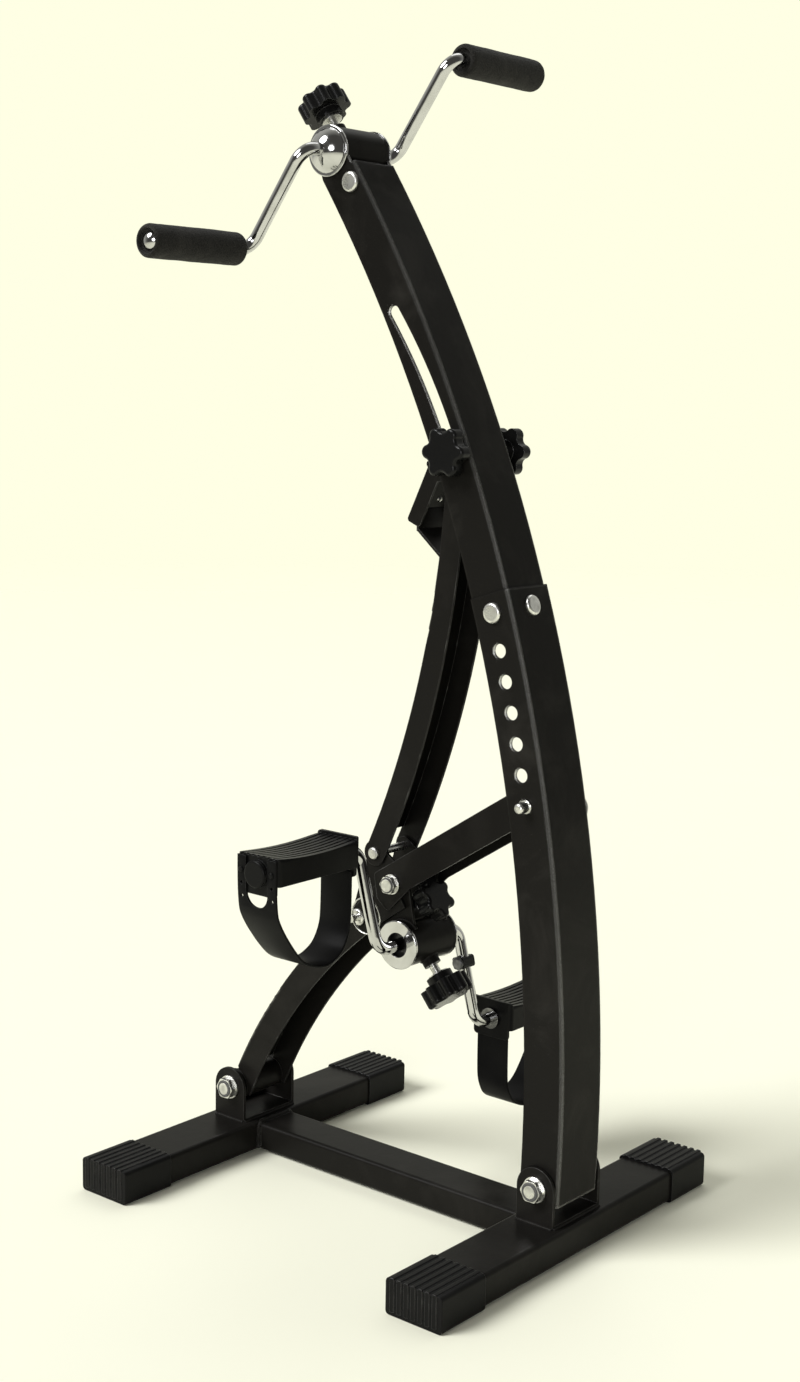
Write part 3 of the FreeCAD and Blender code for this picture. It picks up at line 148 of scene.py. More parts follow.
def calculated(tree, operation, first, second=0.0):
    return shader_node(tree, "Math", {0: first, 1: second}, operation=operation).outputs[0]


def mixed_color(tree, share, first, second):
    node = shader_node(tree, "Mix", {0: share, 6: first, 7: second}, data_type="RGBA")
    return node.outputs[2]


world = bpy.data.worlds.new("surroundings")
bpy.context.scene.world = world
world.use_nodes = True
tree = world.node_tree
tree.nodes.clear()
direction = shader_node(tree, "TexCoord").outputs["Generated"]
rise = shader_node(tree, "SeparateXYZ", {0: direction}).outputs["Z"]
toward_camera = Vector((math.sin(camera_azimuth), -math.cos(camera_azimuth), 0))
ahead = shader_node(tree, "VectorMath", {0: direction, 1: toward_camera}, operation="DOT_PRODUCT")
ahead = ahead.outputs["Value"]
studio = mixed_color(tree, remapped(tree, ahead, *wall_to_room), wall_color, room_color)
across = remapped(tree, ahead, *backdrop_sides)
below_top = remapped(tree, rise, *backdrop_top, 0.0, backdrop_in_mirrors)
rays = shader_node(tree, "LightPath").outputs
mirrored = calculated(tree, "MAXIMUM", rays["Is Glossy Ray"], rays["Is Transmission Ray"])
mirrored = calculated(tree, "MULTIPLY", mirrored, calculated(tree, "MULTIPLY", across, below_top))
shown = calculated(tree, "MAXIMUM", rays["Is Camera Ray"], mirrored)
sky = shader_node(tree, "Background", {"Color": mixed_color(tree, shown, studio, backdrop_color)})
sky_output = tree.nodes.new("ShaderNodeOutputWorld")
tree.links.new(sky.outputs[0], sky_output.inputs["Surface"])
for name, azimuth, elevation, strength, spread in lamps:
    lamp_data = bpy.data.lights.new(name, "SUN")
    lamp_data.energy = strength
    lamp_data.angle = math.radians(spread)
    lamp = bpy.data.objects.new(name, lamp_data)
    bpy.context.scene.collection.objects.link(lamp)
    a, e = math.radians(azimuth), math.radians(elevation)
    toward_lamp = Vector((math.sin(a) * math.cos(e), -math.cos(a) * math.cos(e), math.sin(e)))
    lamp.rotation_mode = "QUATERNION"
    lamp.rotation_quaternion = toward_lamp.to_track_quat("Z", "Y")
bpy.context.scene.view_settings.view_transform = "Standard"

# Stabilisers and centre beam: flat steel tube welded into an I and powder coated satin black.
# The coat has a fine orange peel, a few handling smudges on top, bright rubs on its corners and
# a faint painted highlight along every edge.
coat_color = (0.009, 0.0084, 0.0074, 1)
smudge_color = (0.06, 0.056, 0.05, 1)
# A light colour for both the rubs and the painted highlight on the edges.
rub_and_sheen_color = (0.3, 0.3, 0.29, 1)


def new_group(name, sockets_in, sockets_out):
    """A shader node group: its tree, its input sockets and its output sockets."""
    group = bpy.data.node_groups.new(name, "ShaderNodeTree")
    for label, kind, value in sockets_in:
        socket = group.interface.new_socket(label, in_out="INPUT", socket_type="NodeSocket" + kind)
        socket.default_value = value
    for label, kind in sockets_out:
        group.interface.new_socket(label, in_out="OUTPUT", socket_type="NodeSocket" + kind)
    inside = group.nodes.new("NodeGroupInput").outputs
    outside = group.nodes.new("NodeGroupOutput").inputs
    return group, inside, outside


def placed_group(tree, group, **values):
    """The group in a material, with its own values."""
    node = tree.nodes.new("ShaderNodeGroup")
    node.node_tree = group
    for label, value in values.items():
        socket = node.inputs[label.replace("_", " ")]
        if isinstance(value, bpy.types.NodeSocket):
            tree.links.new(value, socket)
        else:
            socket.default_value = value
    return node.outputs


# Rounds off the look of each edge, marks every edge for a painted highlight, and marks the edges
# that hands and cartons rub.
edge_turn = (0.99, 0.86)
rub_patches = (0.52, 0.68)
soft_edges, taken, given = new_group(
    "soft_edges",
    [("Radius", "Float", 0.0006), ("Rub Scale", "Float", 60.0), ("Rub Amount", "Float", 0.5)],
    [("Normal", "Vector"), ("Edge", "Float"), ("Rubbed", "Float")],
)
rounded = shader_node(soft_edges, "Bevel", {"Radius": taken["Radius"]}, samples=4)
flat_normal = shader_node(soft_edges, "NewGeometry").outputs["Normal"]
facing = shader_node(soft_edges, "VectorMath", {0: rounded.outputs[0], 1: flat_normal},
                     operation="DOT_PRODUCT")
edge = remapped(soft_edges, facing.outputs["Value"], *edge_turn)
place = shader_node(soft_edges, "TexCoord").outputs["Object"]
patches = shader_node(soft_edges, "TexNoise", {
    "Vector": place, "Scale": taken["Rub Scale"], "Detail": 4.0,
})
worn = remapped(soft_edges, patches.outputs[0], *rub_patches)
rubbed = calculated(soft_edges, "MULTIPLY", edge, worn)
rubbed = calculated(soft_edges, "MULTIPLY", rubbed, taken["Rub Amount"])
soft_edges.links.new(rounded.outputs[0], given["Normal"])
soft_edges.links.new(edge, given["Edge"])
soft_edges.links.new(rubbed, given["Rubbed"])

# Smudges, dust and fine specks on a surface, thicker where it faces up.
smudge_patches = (0.48, 0.74)
smudge_slopes = (0.3, 0.95)
speck_dots = (0.74, 0.78)
speck_scale = 900.0
handled, taken, given = new_group(
    "handled",
    [("Patch Scale", "Float", 14.0), ("Top Amount", "Float", 0.5), ("Side Amount", "Float", 0.1)],
    [("Smudge", "Float"), ("Speck", "Float")],
)
coords = shader_node(handled, "TexCoord").outputs
cloudy = shader_node(handled, "TexNoise", {
    "Vector": coords["Object"], "Scale": taken["Patch Scale"],
    "Detail": 7.0, "Roughness": 0.62, "Distortion": 0.6,
})
cloud = remapped(handled, cloudy.outputs[0], *smudge_patches)
up_share = shader_node(handled, "SeparateXYZ", {0: coords["Normal"]}).outputs["Z"]
amount = remapped(handled, up_share, *smudge_slopes, taken["Side Amount"], taken["Top Amount"])
dots = shader_node(handled, "TexNoise", {
    "Vector": coords["Object"], "Scale": speck_scale, "Detail": 1.0,
})
handled.links.new(calculated(handled, "MULTIPLY", cloud, amount), given["Smudge"])
handled.links.new(remapped(handled, dots.outputs[0], *speck_dots), given["Speck"])

# The fine waves of a sprayed or moulded skin.
fine_skin, taken, given = new_group(
    "fine_skin",
    [("Grain Scale", "Float", 700.0), ("Wave Scale", "Float", 90.0), ("Grain Share", "Float", 0.5)],
    [("Height", "Float")],
)
place = shader_node(fine_skin, "TexCoord").outputs["Object"]
grain = shader_node(fine_skin, "TexNoise", {
    "Vector": place, "Scale": taken["Grain Scale"], "Detail": 2.0,
})
wave = shader_node(fine_skin, "TexNoise", {
    "Vector": place, "Scale": taken["Wave Scale"], "Detail": 1.0,
})
wave_share = calculated(fine_skin, "SUBTRACT", 1.0, taken["Grain Share"])
grainy = calculated(fine_skin, "MULTIPLY", grain.outputs[0], taken["Grain Share"])
wavy = calculated(fine_skin, "MULTIPLY", wave.outputs[0], wave_share)
fine_skin.links.new(calculated(fine_skin, "ADD", grainy, wavy), given["Height"])


speck_strength = 0.35
smudge_dulling = 0.18
forward_turn = (0.2, 0.45)
level_turn = (0.7, 0.5)


def skin_material(name, color, smudged, worn_and_sheen_color, roughness, shine, grain_scale, depth,
                  edge_radius, top_smudge=0.3, side_smudge=0.12, rub=0.5, painted_edge_sheen=0.5,
                  front_corners=False):
    """Satin paint or moulded plastic: one colour with smudges, rubbed edges and a skin.

    Every edge also gets a painted highlight: its colour goes towards the light worn colour and it
    turns metallic. With front_corners only the edges that face forward and out get it.
    """
    material, tree, surface = new_material(name)
    edges = placed_group(tree, soft_edges, Radius=edge_radius, Rub_Amount=rub)
    marks = placed_group(tree, handled, Top_Amount=top_smudge, Side_Amount=side_smudge)
    skin = placed_group(tree, fine_skin, Grain_Scale=grain_scale)
    tint = mixed_color(tree, marks["Smudge"], color, smudged)
    specks = calculated(tree, "MULTIPLY", marks["Speck"], speck_strength)
    tint = mixed_color(tree, specks, tint, smudged)
    tint = mixed_color(tree, edges["Rubbed"], tint, worn_and_sheen_color)
    # Painted highlight on every edge: a lighter colour and metal, scaled by the edge share.
    painted_sheen_mask = calculated(tree, "MULTIPLY", edges["Edge"], painted_edge_sheen)
    # With front_corners the painted highlight stays only on edges that face forward and level.
    if front_corners:
        own_normal = shader_node(tree, "VectorTransform", {0: edges["Normal"]},
                                 vector_type="NORMAL", convert_from="WORLD", convert_to="OBJECT")
        turned_to = shader_node(tree, "SeparateXYZ", {0: own_normal.outputs[0]}).outputs
        forward = remapped(tree, turned_to["X"], *forward_turn)
        level = remapped(tree, turned_to["Z"], *level_turn)
        in_front = calculated(tree, "MULTIPLY", forward, level)
        painted_sheen_mask = calculated(tree, "MULTIPLY", painted_sheen_mask, in_front)
    tint = mixed_color(tree, painted_sheen_mask, tint, worn_and_sheen_color)
    rough = remapped(tree, marks["Smudge"], 0.0, 0.6, roughness, roughness + smudge_dulling)
    bump = shader_node(tree, "Bump", {
        "Strength": 0.35, "Distance": depth, "Height": skin["Height"], "Normal": edges["Normal"],
    })
    shader = shader_node(tree, "BsdfPrincipled", {
        "Base Color": tint, "Metallic": painted_sheen_mask, "Roughness": rough,
        "Specular IOR Level": shine, "Normal": bump.outputs[0],
    })
    tree.links.new(shader.outputs[0], surface)
    return material


def painted(material, *names):
    """Gives CAD parts their finish."""
    for name in names:
        slots = cad[name].data.materials
        slots.clear()
        slots.append(material)


black_coat = skin_material(
    "black_coat", coat_color, smudge_color, rub_and_sheen_color, roughness=0.3, shine=0.06,
    grain_scale=650.0, depth=0.0004, edge_radius=0.0012, top_smudge=0.16, painted_edge_sheen=0.15)
painted(black_coat, "rear_stabiliser_tube", "front_stabiliser_tube", "centre_beam")


def wrap_faces(rings, sides, closed=False, first=0):
    """Faces that join rings of corners, with one over each end unless the rings close up."""
    faces = []
    for index in range(rings if closed else rings - 1):
        low, high = first + index * sides, first + (index + 1) % rings * sides
        for step in range(sides):
            following = (step + 1) % sides
            faces.append((low + step, low + following, high + following, high + step))
    if not closed:
        faces.append(tuple(reversed(range(sides))))
        faces.append(tuple(range((rings - 1) * sides, rings * sides)))
    return faces


def skin_along(name, points, radii, sides):
    """A round tube mesh along the points, with its own radius at each."""
    vertices = []
    outward = None
    tangent = Vector((0, 0, 1))
    for index, point in enumerate(points):
        run = points[min(index + 1, len(points) - 1)] - points[max(index - 1, 0)]
        if run.length > 1e-9:
            tangent = run.normalized()
        if outward is None:
            outward = tangent.orthogonal()
        outward = (outward - outward.dot(tangent) * tangent).normalized()
        side = tangent.cross(outward)
        for step in range(sides):
            turn = 2 * math.pi * step / sides
            rim = math.cos(turn) * outward + math.sin(turn) * side
            vertices.append(point + radii[index] * rim)
    mesh = bpy.data.meshes.new(name)
    mesh.from_pydata(vertices, [], wrap_faces(len(points), sides))
    return mesh


bead_pitch = 0.0021
bead_step = 0.00035
bead_ripple = 0.13
bead_swell = 0.16
bead_swell_scale = 160
bead_sides = 10
beam_bead = 0.0033
beam_half = 0.024
beam_top = 0.02975
beam_foot = 0.004
beam_corner = 0.004
beam_end = -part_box("rear_stabiliser_tube")[1].x


def weld_bead(name, body, corners, size):
    """A rippled weld bead along straight runs between the corners."""
    points = []
    for start, end in zip(corners, corners[1:]):
        steps = max(1, round((end - start).length / bead_step))
        points += [start.lerp(end, step / steps) for step in range(steps)]
    points.append(corners[-1])
    length = 0
    radii = []
    for index, point in enumerate(points):
        length += (point - points[index - 1]).length if index else 0
        ripple = abs(math.sin(math.pi * length / bead_pitch))
        swell = noise.noise(point * bead_swell_scale)
        radii.append(size * (0.84 + bead_ripple * ripple + bead_swell * swell))
    bead = new_object(name, skin_along(name, points, radii, bead_sides), black_coat, 60)
    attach(bead, body)


for label, x in (("rear", -beam_end), ("front", beam_end)):
    weld_bead("beam_weld_" + label, "base", [
        Vector((x, -beam_half, beam_foot)),
        Vector((x, -beam_half, beam_top - beam_corner)),
        Vector((x, -beam_half + beam_corner, beam_top)),
        Vector((x, beam_half - beam_corner, beam_top)),
        Vector((x, beam_half, beam_top - beam_corner)),
        Vector((x, beam_half, beam_foot)),
    ], beam_bead)

# End caps: four ribbed boots of black moulded plastic, pushed over the ends of the stabilisers.
# They carry the exerciser on the floor, their ribs are rubbed a little grey, and all their edges
# carry a painted highlight.
cap_color = (0.0065, 0.0065, 0.0065, 1)
cap_dust_color = (0.045, 0.043, 0.04, 1)
# A light colour for the rubs and for the painted highlight on the edges of the plastic parts.
cap_rub_and_sheen_color = (0.16, 0.16, 0.16, 1)
cap_plastic = skin_material(
    "cap_plastic", cap_color, cap_dust_color, cap_rub_and_sheen_color, roughness=0.34, shine=0.07,
    grain_scale=1500.0, depth=0.0003, edge_radius=0.0007, top_smudge=0.14, side_smudge=0.08,
    rub=0.7)
painted(cap_plastic, "rear_near_end_cap", "rear_far_end_cap", "front_near_end_cap",
        "front_far_end_cap")

# Hinge brackets: folded steel ears welded on the stabilisers, painted with them, the rear pair with
# a low web across its back. A zinc plated bolt goes through each pair, and its lock nut grips it
# with a nylon ring.
zinc_color = (0.8, 0.8, 0.77, 1)
zinc_dull_color = (0.55, 0.545, 0.52, 1)
nylon_color = (0.09, 0.09, 0.088, 1)
bolt_end_out = 0.0012
lock_ring_bore = 0.0061
lock_ring_rise = 0.0011
lock_ring_sink = 0.0004
hinge_lock_ring_rim = 0.0088
bracket_foot = 0.03175
bracket_reach = (0.0203, 0.0374)
bracket_bead = 0.0021
ear_bead = 0.0019
bead_inset = 0.001
bracket_sheet = 0.002
bracket_web_top = 0.0445
bracket_web_half = 0.0345
sheet_edge = 0.0005

# Bright plating: cloudy dull patches and fine scratches that run along the piece.
dull_patches = (0.42, 0.72)
scratch_stretch = (1.0, 0.06, 1.0)
plating, taken, given = new_group(
    "plating",
    [("Patch Scale", "Float", 120.0), ("Scratch Scale", "Float", 500.0)],
    [("Dull", "Float"), ("Height", "Float")],
)
place = shader_node(plating, "TexCoord").outputs["Object"]
patches = shader_node(plating, "TexNoise", {
    "Vector": place, "Scale": taken["Patch Scale"], "Detail": 5.0,
})
stretched = shader_node(plating, "Mapping", {"Vector": place, "Scale": scratch_stretch})
scratches = shader_node(plating, "TexNoise", {
    "Vector": stretched.outputs[0], "Scale": taken["Scratch Scale"], "Detail": 3.0,
})
plating.links.new(remapped(plating, patches.outputs[0], *dull_patches), given["Dull"])
plating.links.new(scratches.outputs[0], given["Height"])


def plated_material(name, color, dull_color, roughness, dull_roughness, patch_scale, depth,
                    edge_radius):
    """Bright metal: one colour with duller, rougher patches and fine scratches."""
    material, tree, surface = new_material(name)
    edges = placed_group(tree, soft_edges, Radius=edge_radius, Rub_Amount=0.0)
    marks = placed_group(tree, plating, Patch_Scale=patch_scale)
    bump = shader_node(tree, "Bump", {
        "Strength": 0.25, "Distance": depth, "Height": marks["Height"], "Normal": edges["Normal"],
    })
    shader = shader_node(tree, "BsdfPrincipled", {
        "Base Color": mixed_color(tree, marks["Dull"], color, dull_color),
        "Roughness": remapped(tree, marks["Dull"], 0.0, 1.0, roughness, dull_roughness),
        "Metallic": 1.0,
        "Normal": bump.outputs[0],
    })
    tree.links.new(shader.outputs[0], surface)
    return material


def faces_outward(mesh):
    """Turns a closed mesh's faces to the outside."""
    shell = bmesh.new()
    shell.from_mesh(mesh)
    bmesh.ops.recalc_face_normals(shell, faces=shell.faces)
    shell.to_mesh(mesh)


def turned(name, body, material, rings, sides=48):
    """Rings turned about lines: each a start, a direction and a closed (along, radius) profile."""
    vertices = []
    faces = []
    for start, direction, profile in rings:
        faces += wrap_faces(len(profile), sides, closed=True, first=len(vertices))
        outward = direction.orthogonal().normalized()
        side = direction.cross(outward)
        for along, radius in profile:
            for step in range(sides):
                turn = 2 * math.pi * step / sides
                vertices.append(start + along * direction
                                + radius * (math.cos(turn) * outward + math.sin(turn) * side))
    mesh = bpy.data.meshes.new(name)
    mesh.from_pydata(vertices, [], faces)
    faces_outward(mesh)
    piece = new_object(name, mesh, material)
    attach(piece, body)
    return piece


bright_zinc = plated_material(
    "bright_zinc", zinc_color, zinc_dull_color, roughness=0.27, dull_roughness=0.42,
    patch_scale=120.0, depth=0.0002, edge_radius=0.0005)
nylon = skin_material(
    "nylon", nylon_color, cap_dust_color, cap_rub_and_sheen_color, roughness=0.4, shine=0.3,
    grain_scale=1500.0, depth=0.0002, edge_radius=0.0003)
painted(black_coat, "rear_hinge_bracket", "front_hinge_bracket")
painted(bright_zinc, "rear_hinge_bolt", "front_hinge_bolt")


def middle(name):
    """The middle of a CAD part's box."""
    low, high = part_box(name)
    return (low + high) / 2


def lock_ring(name, body, bolt, rim):
    """The nylon ring that stands out of a lock nut, round the bolt's end."""
    bore, rise = lock_ring_bore, lock_ring_rise
    profile = [(-lock_ring_sink, bore), (rise * 0.75, bore), (rise, bore + lock_ring_sink),
               (rise, rim - 0.0009), (rise * 0.7, rim - 0.0002), (0.0, rim), (-lock_ring_sink, rim)]
    start = Vector((middle(bolt).x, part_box(bolt)[0].y + bolt_end_out, middle(bolt).z))
    turned(name, body, nylon, [(start, Vector((0, -1, 0)), profile)])


def prism(mesh, outline, y_low, y_high):
    """Adds a closed prism along Y over an outline of (x, z) pairs."""
    low = [mesh.verts.new((x, y_low, z)) for x, z in outline]
    high = [mesh.verts.new((x, y_high, z)) for x, z in outline]
    mesh.faces.new(low)
    mesh.faces.new(reversed(high))
    for index in range(len(outline)):
        following = (index + 1) % len(outline)
        mesh.faces.new((low[following], low[index], high[index], high[following]))


def sheet_strip(name, body, low, high, half):
    """A strip of painted sheet across the exerciser from one (x, z) to another, its edges soft."""
    strip = bmesh.new()
    prism(strip, [low, (low[0], high[1]), high, (high[0], low[1])], -half, half)
    bmesh.ops.recalc_face_normals(strip, faces=strip.faces)
    bmesh.ops.bevel(strip, geom=list(strip.edges), offset=sheet_edge, segments=3, affect="EDGES",
                    profile=0.5)
    mesh = bpy.data.meshes.new(name)
    strip.to_mesh(mesh)
    piece = new_object(name, mesh, black_coat)
    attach(piece, body)


for label in ("rear", "front"):
    hinge = middle(label + "_hinge_bolt")
    lock_ring("hinge_lock_ring_" + label, "base", label + "_hinge_bolt", hinge_lock_ring_rim)
    for side in (-1, 1):
        foot_x, foot_y = hinge.x + side * bracket_reach[0], side * bracket_reach[1]
        weld_bead("bracket_weld_%s_%s" % (label, "left" if side < 0 else "right"), "base", [
            Vector((foot_x, -bracket_reach[1] + bead_inset, bracket_foot)),
            Vector((foot_x, bracket_reach[1] - bead_inset, bracket_foot)),
        ], bracket_bead)
        weld_bead("ear_weld_%s_%s" % (label, "near" if side < 0 else "far"), "base", [
            Vector((hinge.x - bracket_reach[0] + bead_inset, foot_y, bracket_foot)),
            Vector((hinge.x + bracket_reach[0] - bead_inset, foot_y, bracket_foot)),
        ], ear_bead)

web_back = middle("rear_hinge_bolt").x - bracket_reach[0]
sheet_strip("rear_bracket_web", "base", (web_back, bracket_foot),
            (web_back + bracket_sheet, bracket_web_top), bracket_web_half)

# Upright: two curved channels of folded steel, the upper one sleeved into the lower one and held
# there by two bright button head bolts. The lower one has the row of height holes, and both have
# rounded front corners with a painted highlight along them.
# Painted highlight: the light colour that the upright's front corners are mixed towards.
upright_highlight_paint_color = (0.95, 0.95, 0.92, 1)
upright_coat = skin_material(
    "upright_coat", coat_color, smudge_color, upright_highlight_paint_color, roughness=0.3, shine=0.06,
    grain_scale=650.0, depth=0.0004, edge_radius=0.0034, top_smudge=0.2, side_smudge=0.22,
    rub=0.0, painted_edge_sheen=0.95, front_corners=True)
painted(upright_coat, "lower_upright", "upper_upright")
painted(black_coat, "upright_bush")
painted(bright_zinc, "joint_bolts", "top_bolt")

# Hand barrel: a short tube across the top of the upright, painted with it, with a threaded boss
# for its tension knob, a chromed cup on each end and a black nylon bearing inside each cup.
chrome_color = (0.6, 0.6, 0.6, 1)
chrome_dull_color = (0.5, 0.5, 0.49, 1)
bearing_color = (0.008, 0.008, 0.008, 1)
barrel_radius = 0.0225
boss_radius = 0.0085
boss_bead = 0.0014
hand_barrel = middle("hand_cups")
hand_knob_angle = 126
chrome = plated_material(
    "chrome", chrome_color, chrome_dull_color, roughness=0.06, dull_roughness=0.15,
    patch_scale=60.0, depth=0.00005, edge_radius=0.0004)
bearing_plastic = skin_material(
    "bearing_plastic", bearing_color, cap_dust_color, cap_rub_and_sheen_color, roughness=0.35, shine=0.5,
    grain_scale=1500.0, depth=0.0001, edge_radius=0.0004)
painted(black_coat, "hand_barrel")
painted(chrome, "hand_cups")
painted(bearing_plastic, "hand_bushings")


def boss_weld(name, body, centre, angle):
    """The weld round a threaded boss, where it stands on its barrel."""
    out = Vector((math.cos(math.radians(angle)), 0, math.sin(math.radians(angle))))
    aside = Vector((-out.z, 0, out.x))
    points = []
    steps = 48
    for step in range(steps + 1):
        turn = 2 * math.pi * step / steps
        along = boss_radius * math.cos(turn)
        across = boss_radius * math.sin(turn)
        rise = math.sqrt(barrel_radius ** 2 - across ** 2)
        points.append(centre + rise * out + across * aside + Vector((0, along, 0)))
    weld_bead(name, body, points, boss_bead)


boss_weld("hand_boss_weld", "upright", hand_barrel, hand_knob_angle)

# Hand crank: one chromed steel rod, bent into an arm and an axle on each side of the barrel.
# A pressed chrome dome hides the bearing on each side, and a domed plug closes each end.
rod_radius = 0.006
rod_bend = 0.016
rod_sides = 40
hand_rod_end = 0.193
hand_rod_bends = (0.064, 0.066)
dome_radius = 0.0205
dome_rise = 0.0125
dome_seat = 0.0323
dome_bore = rod_radius + 0.0002
plug_radius = 0.0088
plug_rise = 0.004
closed_bore = 0.00005
near_grip_axle, far_grip_axle = middle("near_grip"), middle("far_grip")


def crank_rod(name, body, node, centre, near, far, end, bends):
    """The bent rod, as fine as its mirror finish needs."""
    low, high = bends
    steps = 16
    corners = [
        Vector((near.x, -end, near.z)),
        Vector((near.x, -high, near.z)),
        Vector((centre.x, -low, centre.z)),
        Vector((centre.x, low, centre.z)),
        Vector((far.x, high, far.z)),
        Vector((far.x, end, far.z)),
    ]
    points = [corners[0]]
    for before, corner, after in zip(corners, corners[1:], corners[2:]):
        back, ahead = (before - corner).normalized(), (after - corner).normalized()
        half_turn = 0.5 * (math.pi - back.angle(ahead))
        hub = corner + (back + ahead).normalized() * rod_bend / math.cos(half_turn)
        first = corner + back * rod_bend * math.tan(half_turn) - hub
        last = corner + ahead * rod_bend * math.tan(half_turn) - hub
        points += [hub + first.slerp(last, step / steps).normalized() * rod_bend
                   for step in range(steps + 1)]
    points.append(corners[-1])
    rod = new_object(name, skin_along(name, points, [rod_radius] * len(points), rod_sides), chrome)
    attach(rod, body)
    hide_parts(node)


def dome_profile(radius, rise, bore):
    """A pressed dome's section, from its bore over its seat and back over its crown."""
    ball = (radius ** 2 + rise ** 2) / (2 * rise)
    first, last = math.asin(radius / ball), math.asin(bore / ball)
    steps = 14
    profile = [(0.0, bore)]
    for step in range(steps + 1):
        turn = first + (last - first) * step / steps
        profile.append((rise - ball + ball * math.cos(turn), ball * math.sin(turn)))
    return profile


crank_rod("hand_crank_rod", "hand_drive", "hand_crank", hand_barrel, near_grip_axle, far_grip_axle,
          hand_rod_end, hand_rod_bends)
dome_rings = []
for side, axle in ((-1, near_grip_axle), (1, far_grip_axle)):
    outward = Vector((0, side, 0))
    dome_rings.append((Vector((hand_barrel.x, side * dome_seat, hand_barrel.z)), outward,
                       dome_profile(dome_radius, dome_rise, dome_bore)))
    dome_rings.append((Vector((axle.x, side * hand_rod_end, axle.z)), outward,
                       dome_profile(plug_radius, plug_rise, closed_bore)))
domes = turned("hand_crank_domes", "hand_drive", chrome, dome_rings, 64)
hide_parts("hand_crank_caps")

# Hand grips: sleeves of matte black closed cell foam that turn on the ends of the hand crank.
# Each has rounded rims, a recess round the rod's plug and the shallow dents of use.
foam_color = (0.009, 0.0085, 0.0075, 1)
foam_cell_color = (0.022, 0.021, 0.0185, 1)
foam_worn_color = (0.06, 0.056, 0.051, 1)
grip_radius = 0.0156
grip_ends = (0.0826, 0.197)
grip_recess = 0.0112
grip_recess_depth = 0.0043
grip_bore = rod_radius + 0.0001
grip_inner_rim = 0.004
grip_outer_rim = (0.0045, 0.0037)
grip_dents = (45, 0.0003)
grip_pits = (210, 0.00012)
grip_sink = 0.00035
cell_walls = (0.15, 0.7)
lump_scale = 220.0

foam_cells, taken, given = new_group(
    "foam_cells", [("Cell Scale", "Float", 900.0)], [("Cells", "Float"), ("Height", "Float")])
place = shader_node(foam_cells, "TexCoord").outputs["Object"]
small_cells = shader_node(foam_cells, "TexVoronoi", {"Vector": place, "Scale": taken["Cell Scale"]})
lumps = shader_node(foam_cells, "TexNoise", {"Vector": place, "Scale": lump_scale, "Detail": 5.0})
cells = remapped(foam_cells, small_cells.outputs["Distance"], *cell_walls)
foam_cells.links.new(cells, given["Cells"])
foam_cells.links.new(calculated(foam_cells, "ADD", cells, lumps.outputs[0]), given["Height"])

foam, tree, surface = new_material("foam")
cell_marks = placed_group(tree, foam_cells)
hand_marks = placed_group(tree, handled, Patch_Scale=26.0, Top_Amount=0.3, Side_Amount=0.4)
tint = mixed_color(tree, cell_marks["Cells"], foam_cell_color, foam_color)
tint = mixed_color(tree, hand_marks["Smudge"], tint, foam_worn_color)
bump = shader_node(tree, "Bump", {
    "Strength": 0.6, "Distance": 0.0006, "Height": cell_marks["Height"],
})
shader = shader_node(tree, "BsdfPrincipled", {
    "Base Color": tint, "Roughness": 0.92, "Specular IOR Level": 0.15, "Sheen Weight": 0.06,
    "Sheen Roughness": 0.6, "Normal": bump.outputs[0],
})
tree.links.new(shader.outputs[0], surface)


def foam_grip(name, body, node, axle, side):
    """A foam sleeve from its inner end, round both rims and back along its bore."""
    low, high = grip_ends
    inner = grip_inner_rim
    outer, outer_drop = grip_outer_rim
    inner_floor, outer_floor = low + grip_recess_depth, high - grip_recess_depth
    profile = [(inner_floor, grip_bore), (inner_floor, grip_recess), (low, grip_recess)]
    rim_steps, runs = 8, 26
    for step in range(rim_steps + 1):
        turn = math.radians(90 - 90 * step / rim_steps)
        profile.append((low + inner * (1 - math.sin(turn)),
                        grip_radius - inner * (1 - math.cos(turn))))
    for step in range(1, runs):
        profile.append((low + inner + step / runs * (high - low - (inner + outer)), grip_radius))
    for step in range(rim_steps + 1):
        turn = math.radians(90 * step / rim_steps)
        profile.append((high - outer * (1 - math.sin(turn)),
                        grip_radius - outer_drop * (1 - math.cos(turn))))
    profile += [(high - 0.0006, grip_recess), (outer_floor, grip_recess), (outer_floor, grip_bore)]
    start = Vector((axle.x, 0, axle.z))
    grip = turned(name, body, foam, [(start, Vector((0, side, 0)), profile)], 64)
    for vertex in grip.data.vertices:
        across = Vector((vertex.co.x - axle.x, 0, vertex.co.z - axle.z))
        if across.length > grip_recess + 0.001:
            dent = noise.noise(vertex.co * grip_dents[0]) * grip_dents[1]
            pit = noise.noise(vertex.co * grip_pits[0]) * grip_pits[1]
            vertex.co += across.normalized() * (dent + pit - grip_sink)
    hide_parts(node)


foam_grip("near_foam_grip", "near_handgrip", "near_grip", near_grip_axle, -1)
foam_grip("far_foam_grip", "far_handgrip", "far_grip", far_grip_axle, 1)

# Hand tension knob: a lobed knob of black plastic on a bright threaded stud through the boss.
# It presses on the rod to set how hard the hand crank turns.
knob_color = (0.006, 0.006, 0.006, 1)
stud_radius = 0.004
thread_pitch = 0.00125
thread_depth = 0.0005
thread_steps = 24
bare_stud_start = 0.0295
bare_stud_length = 0.0086
knob_plastic = skin_material(
    "knob_plastic", knob_color, cap_dust_color, cap_rub_and_sheen_color, roughness=0.22, shine=0.16,
    grain_scale=1200.0, depth=0.0002, edge_radius=0.0009, top_smudge=0.25, side_smudge=0.08,
    rub=0.4)
painted(knob_plastic, "hand_knob")
painted(bright_zinc, "hand_knob_stud")


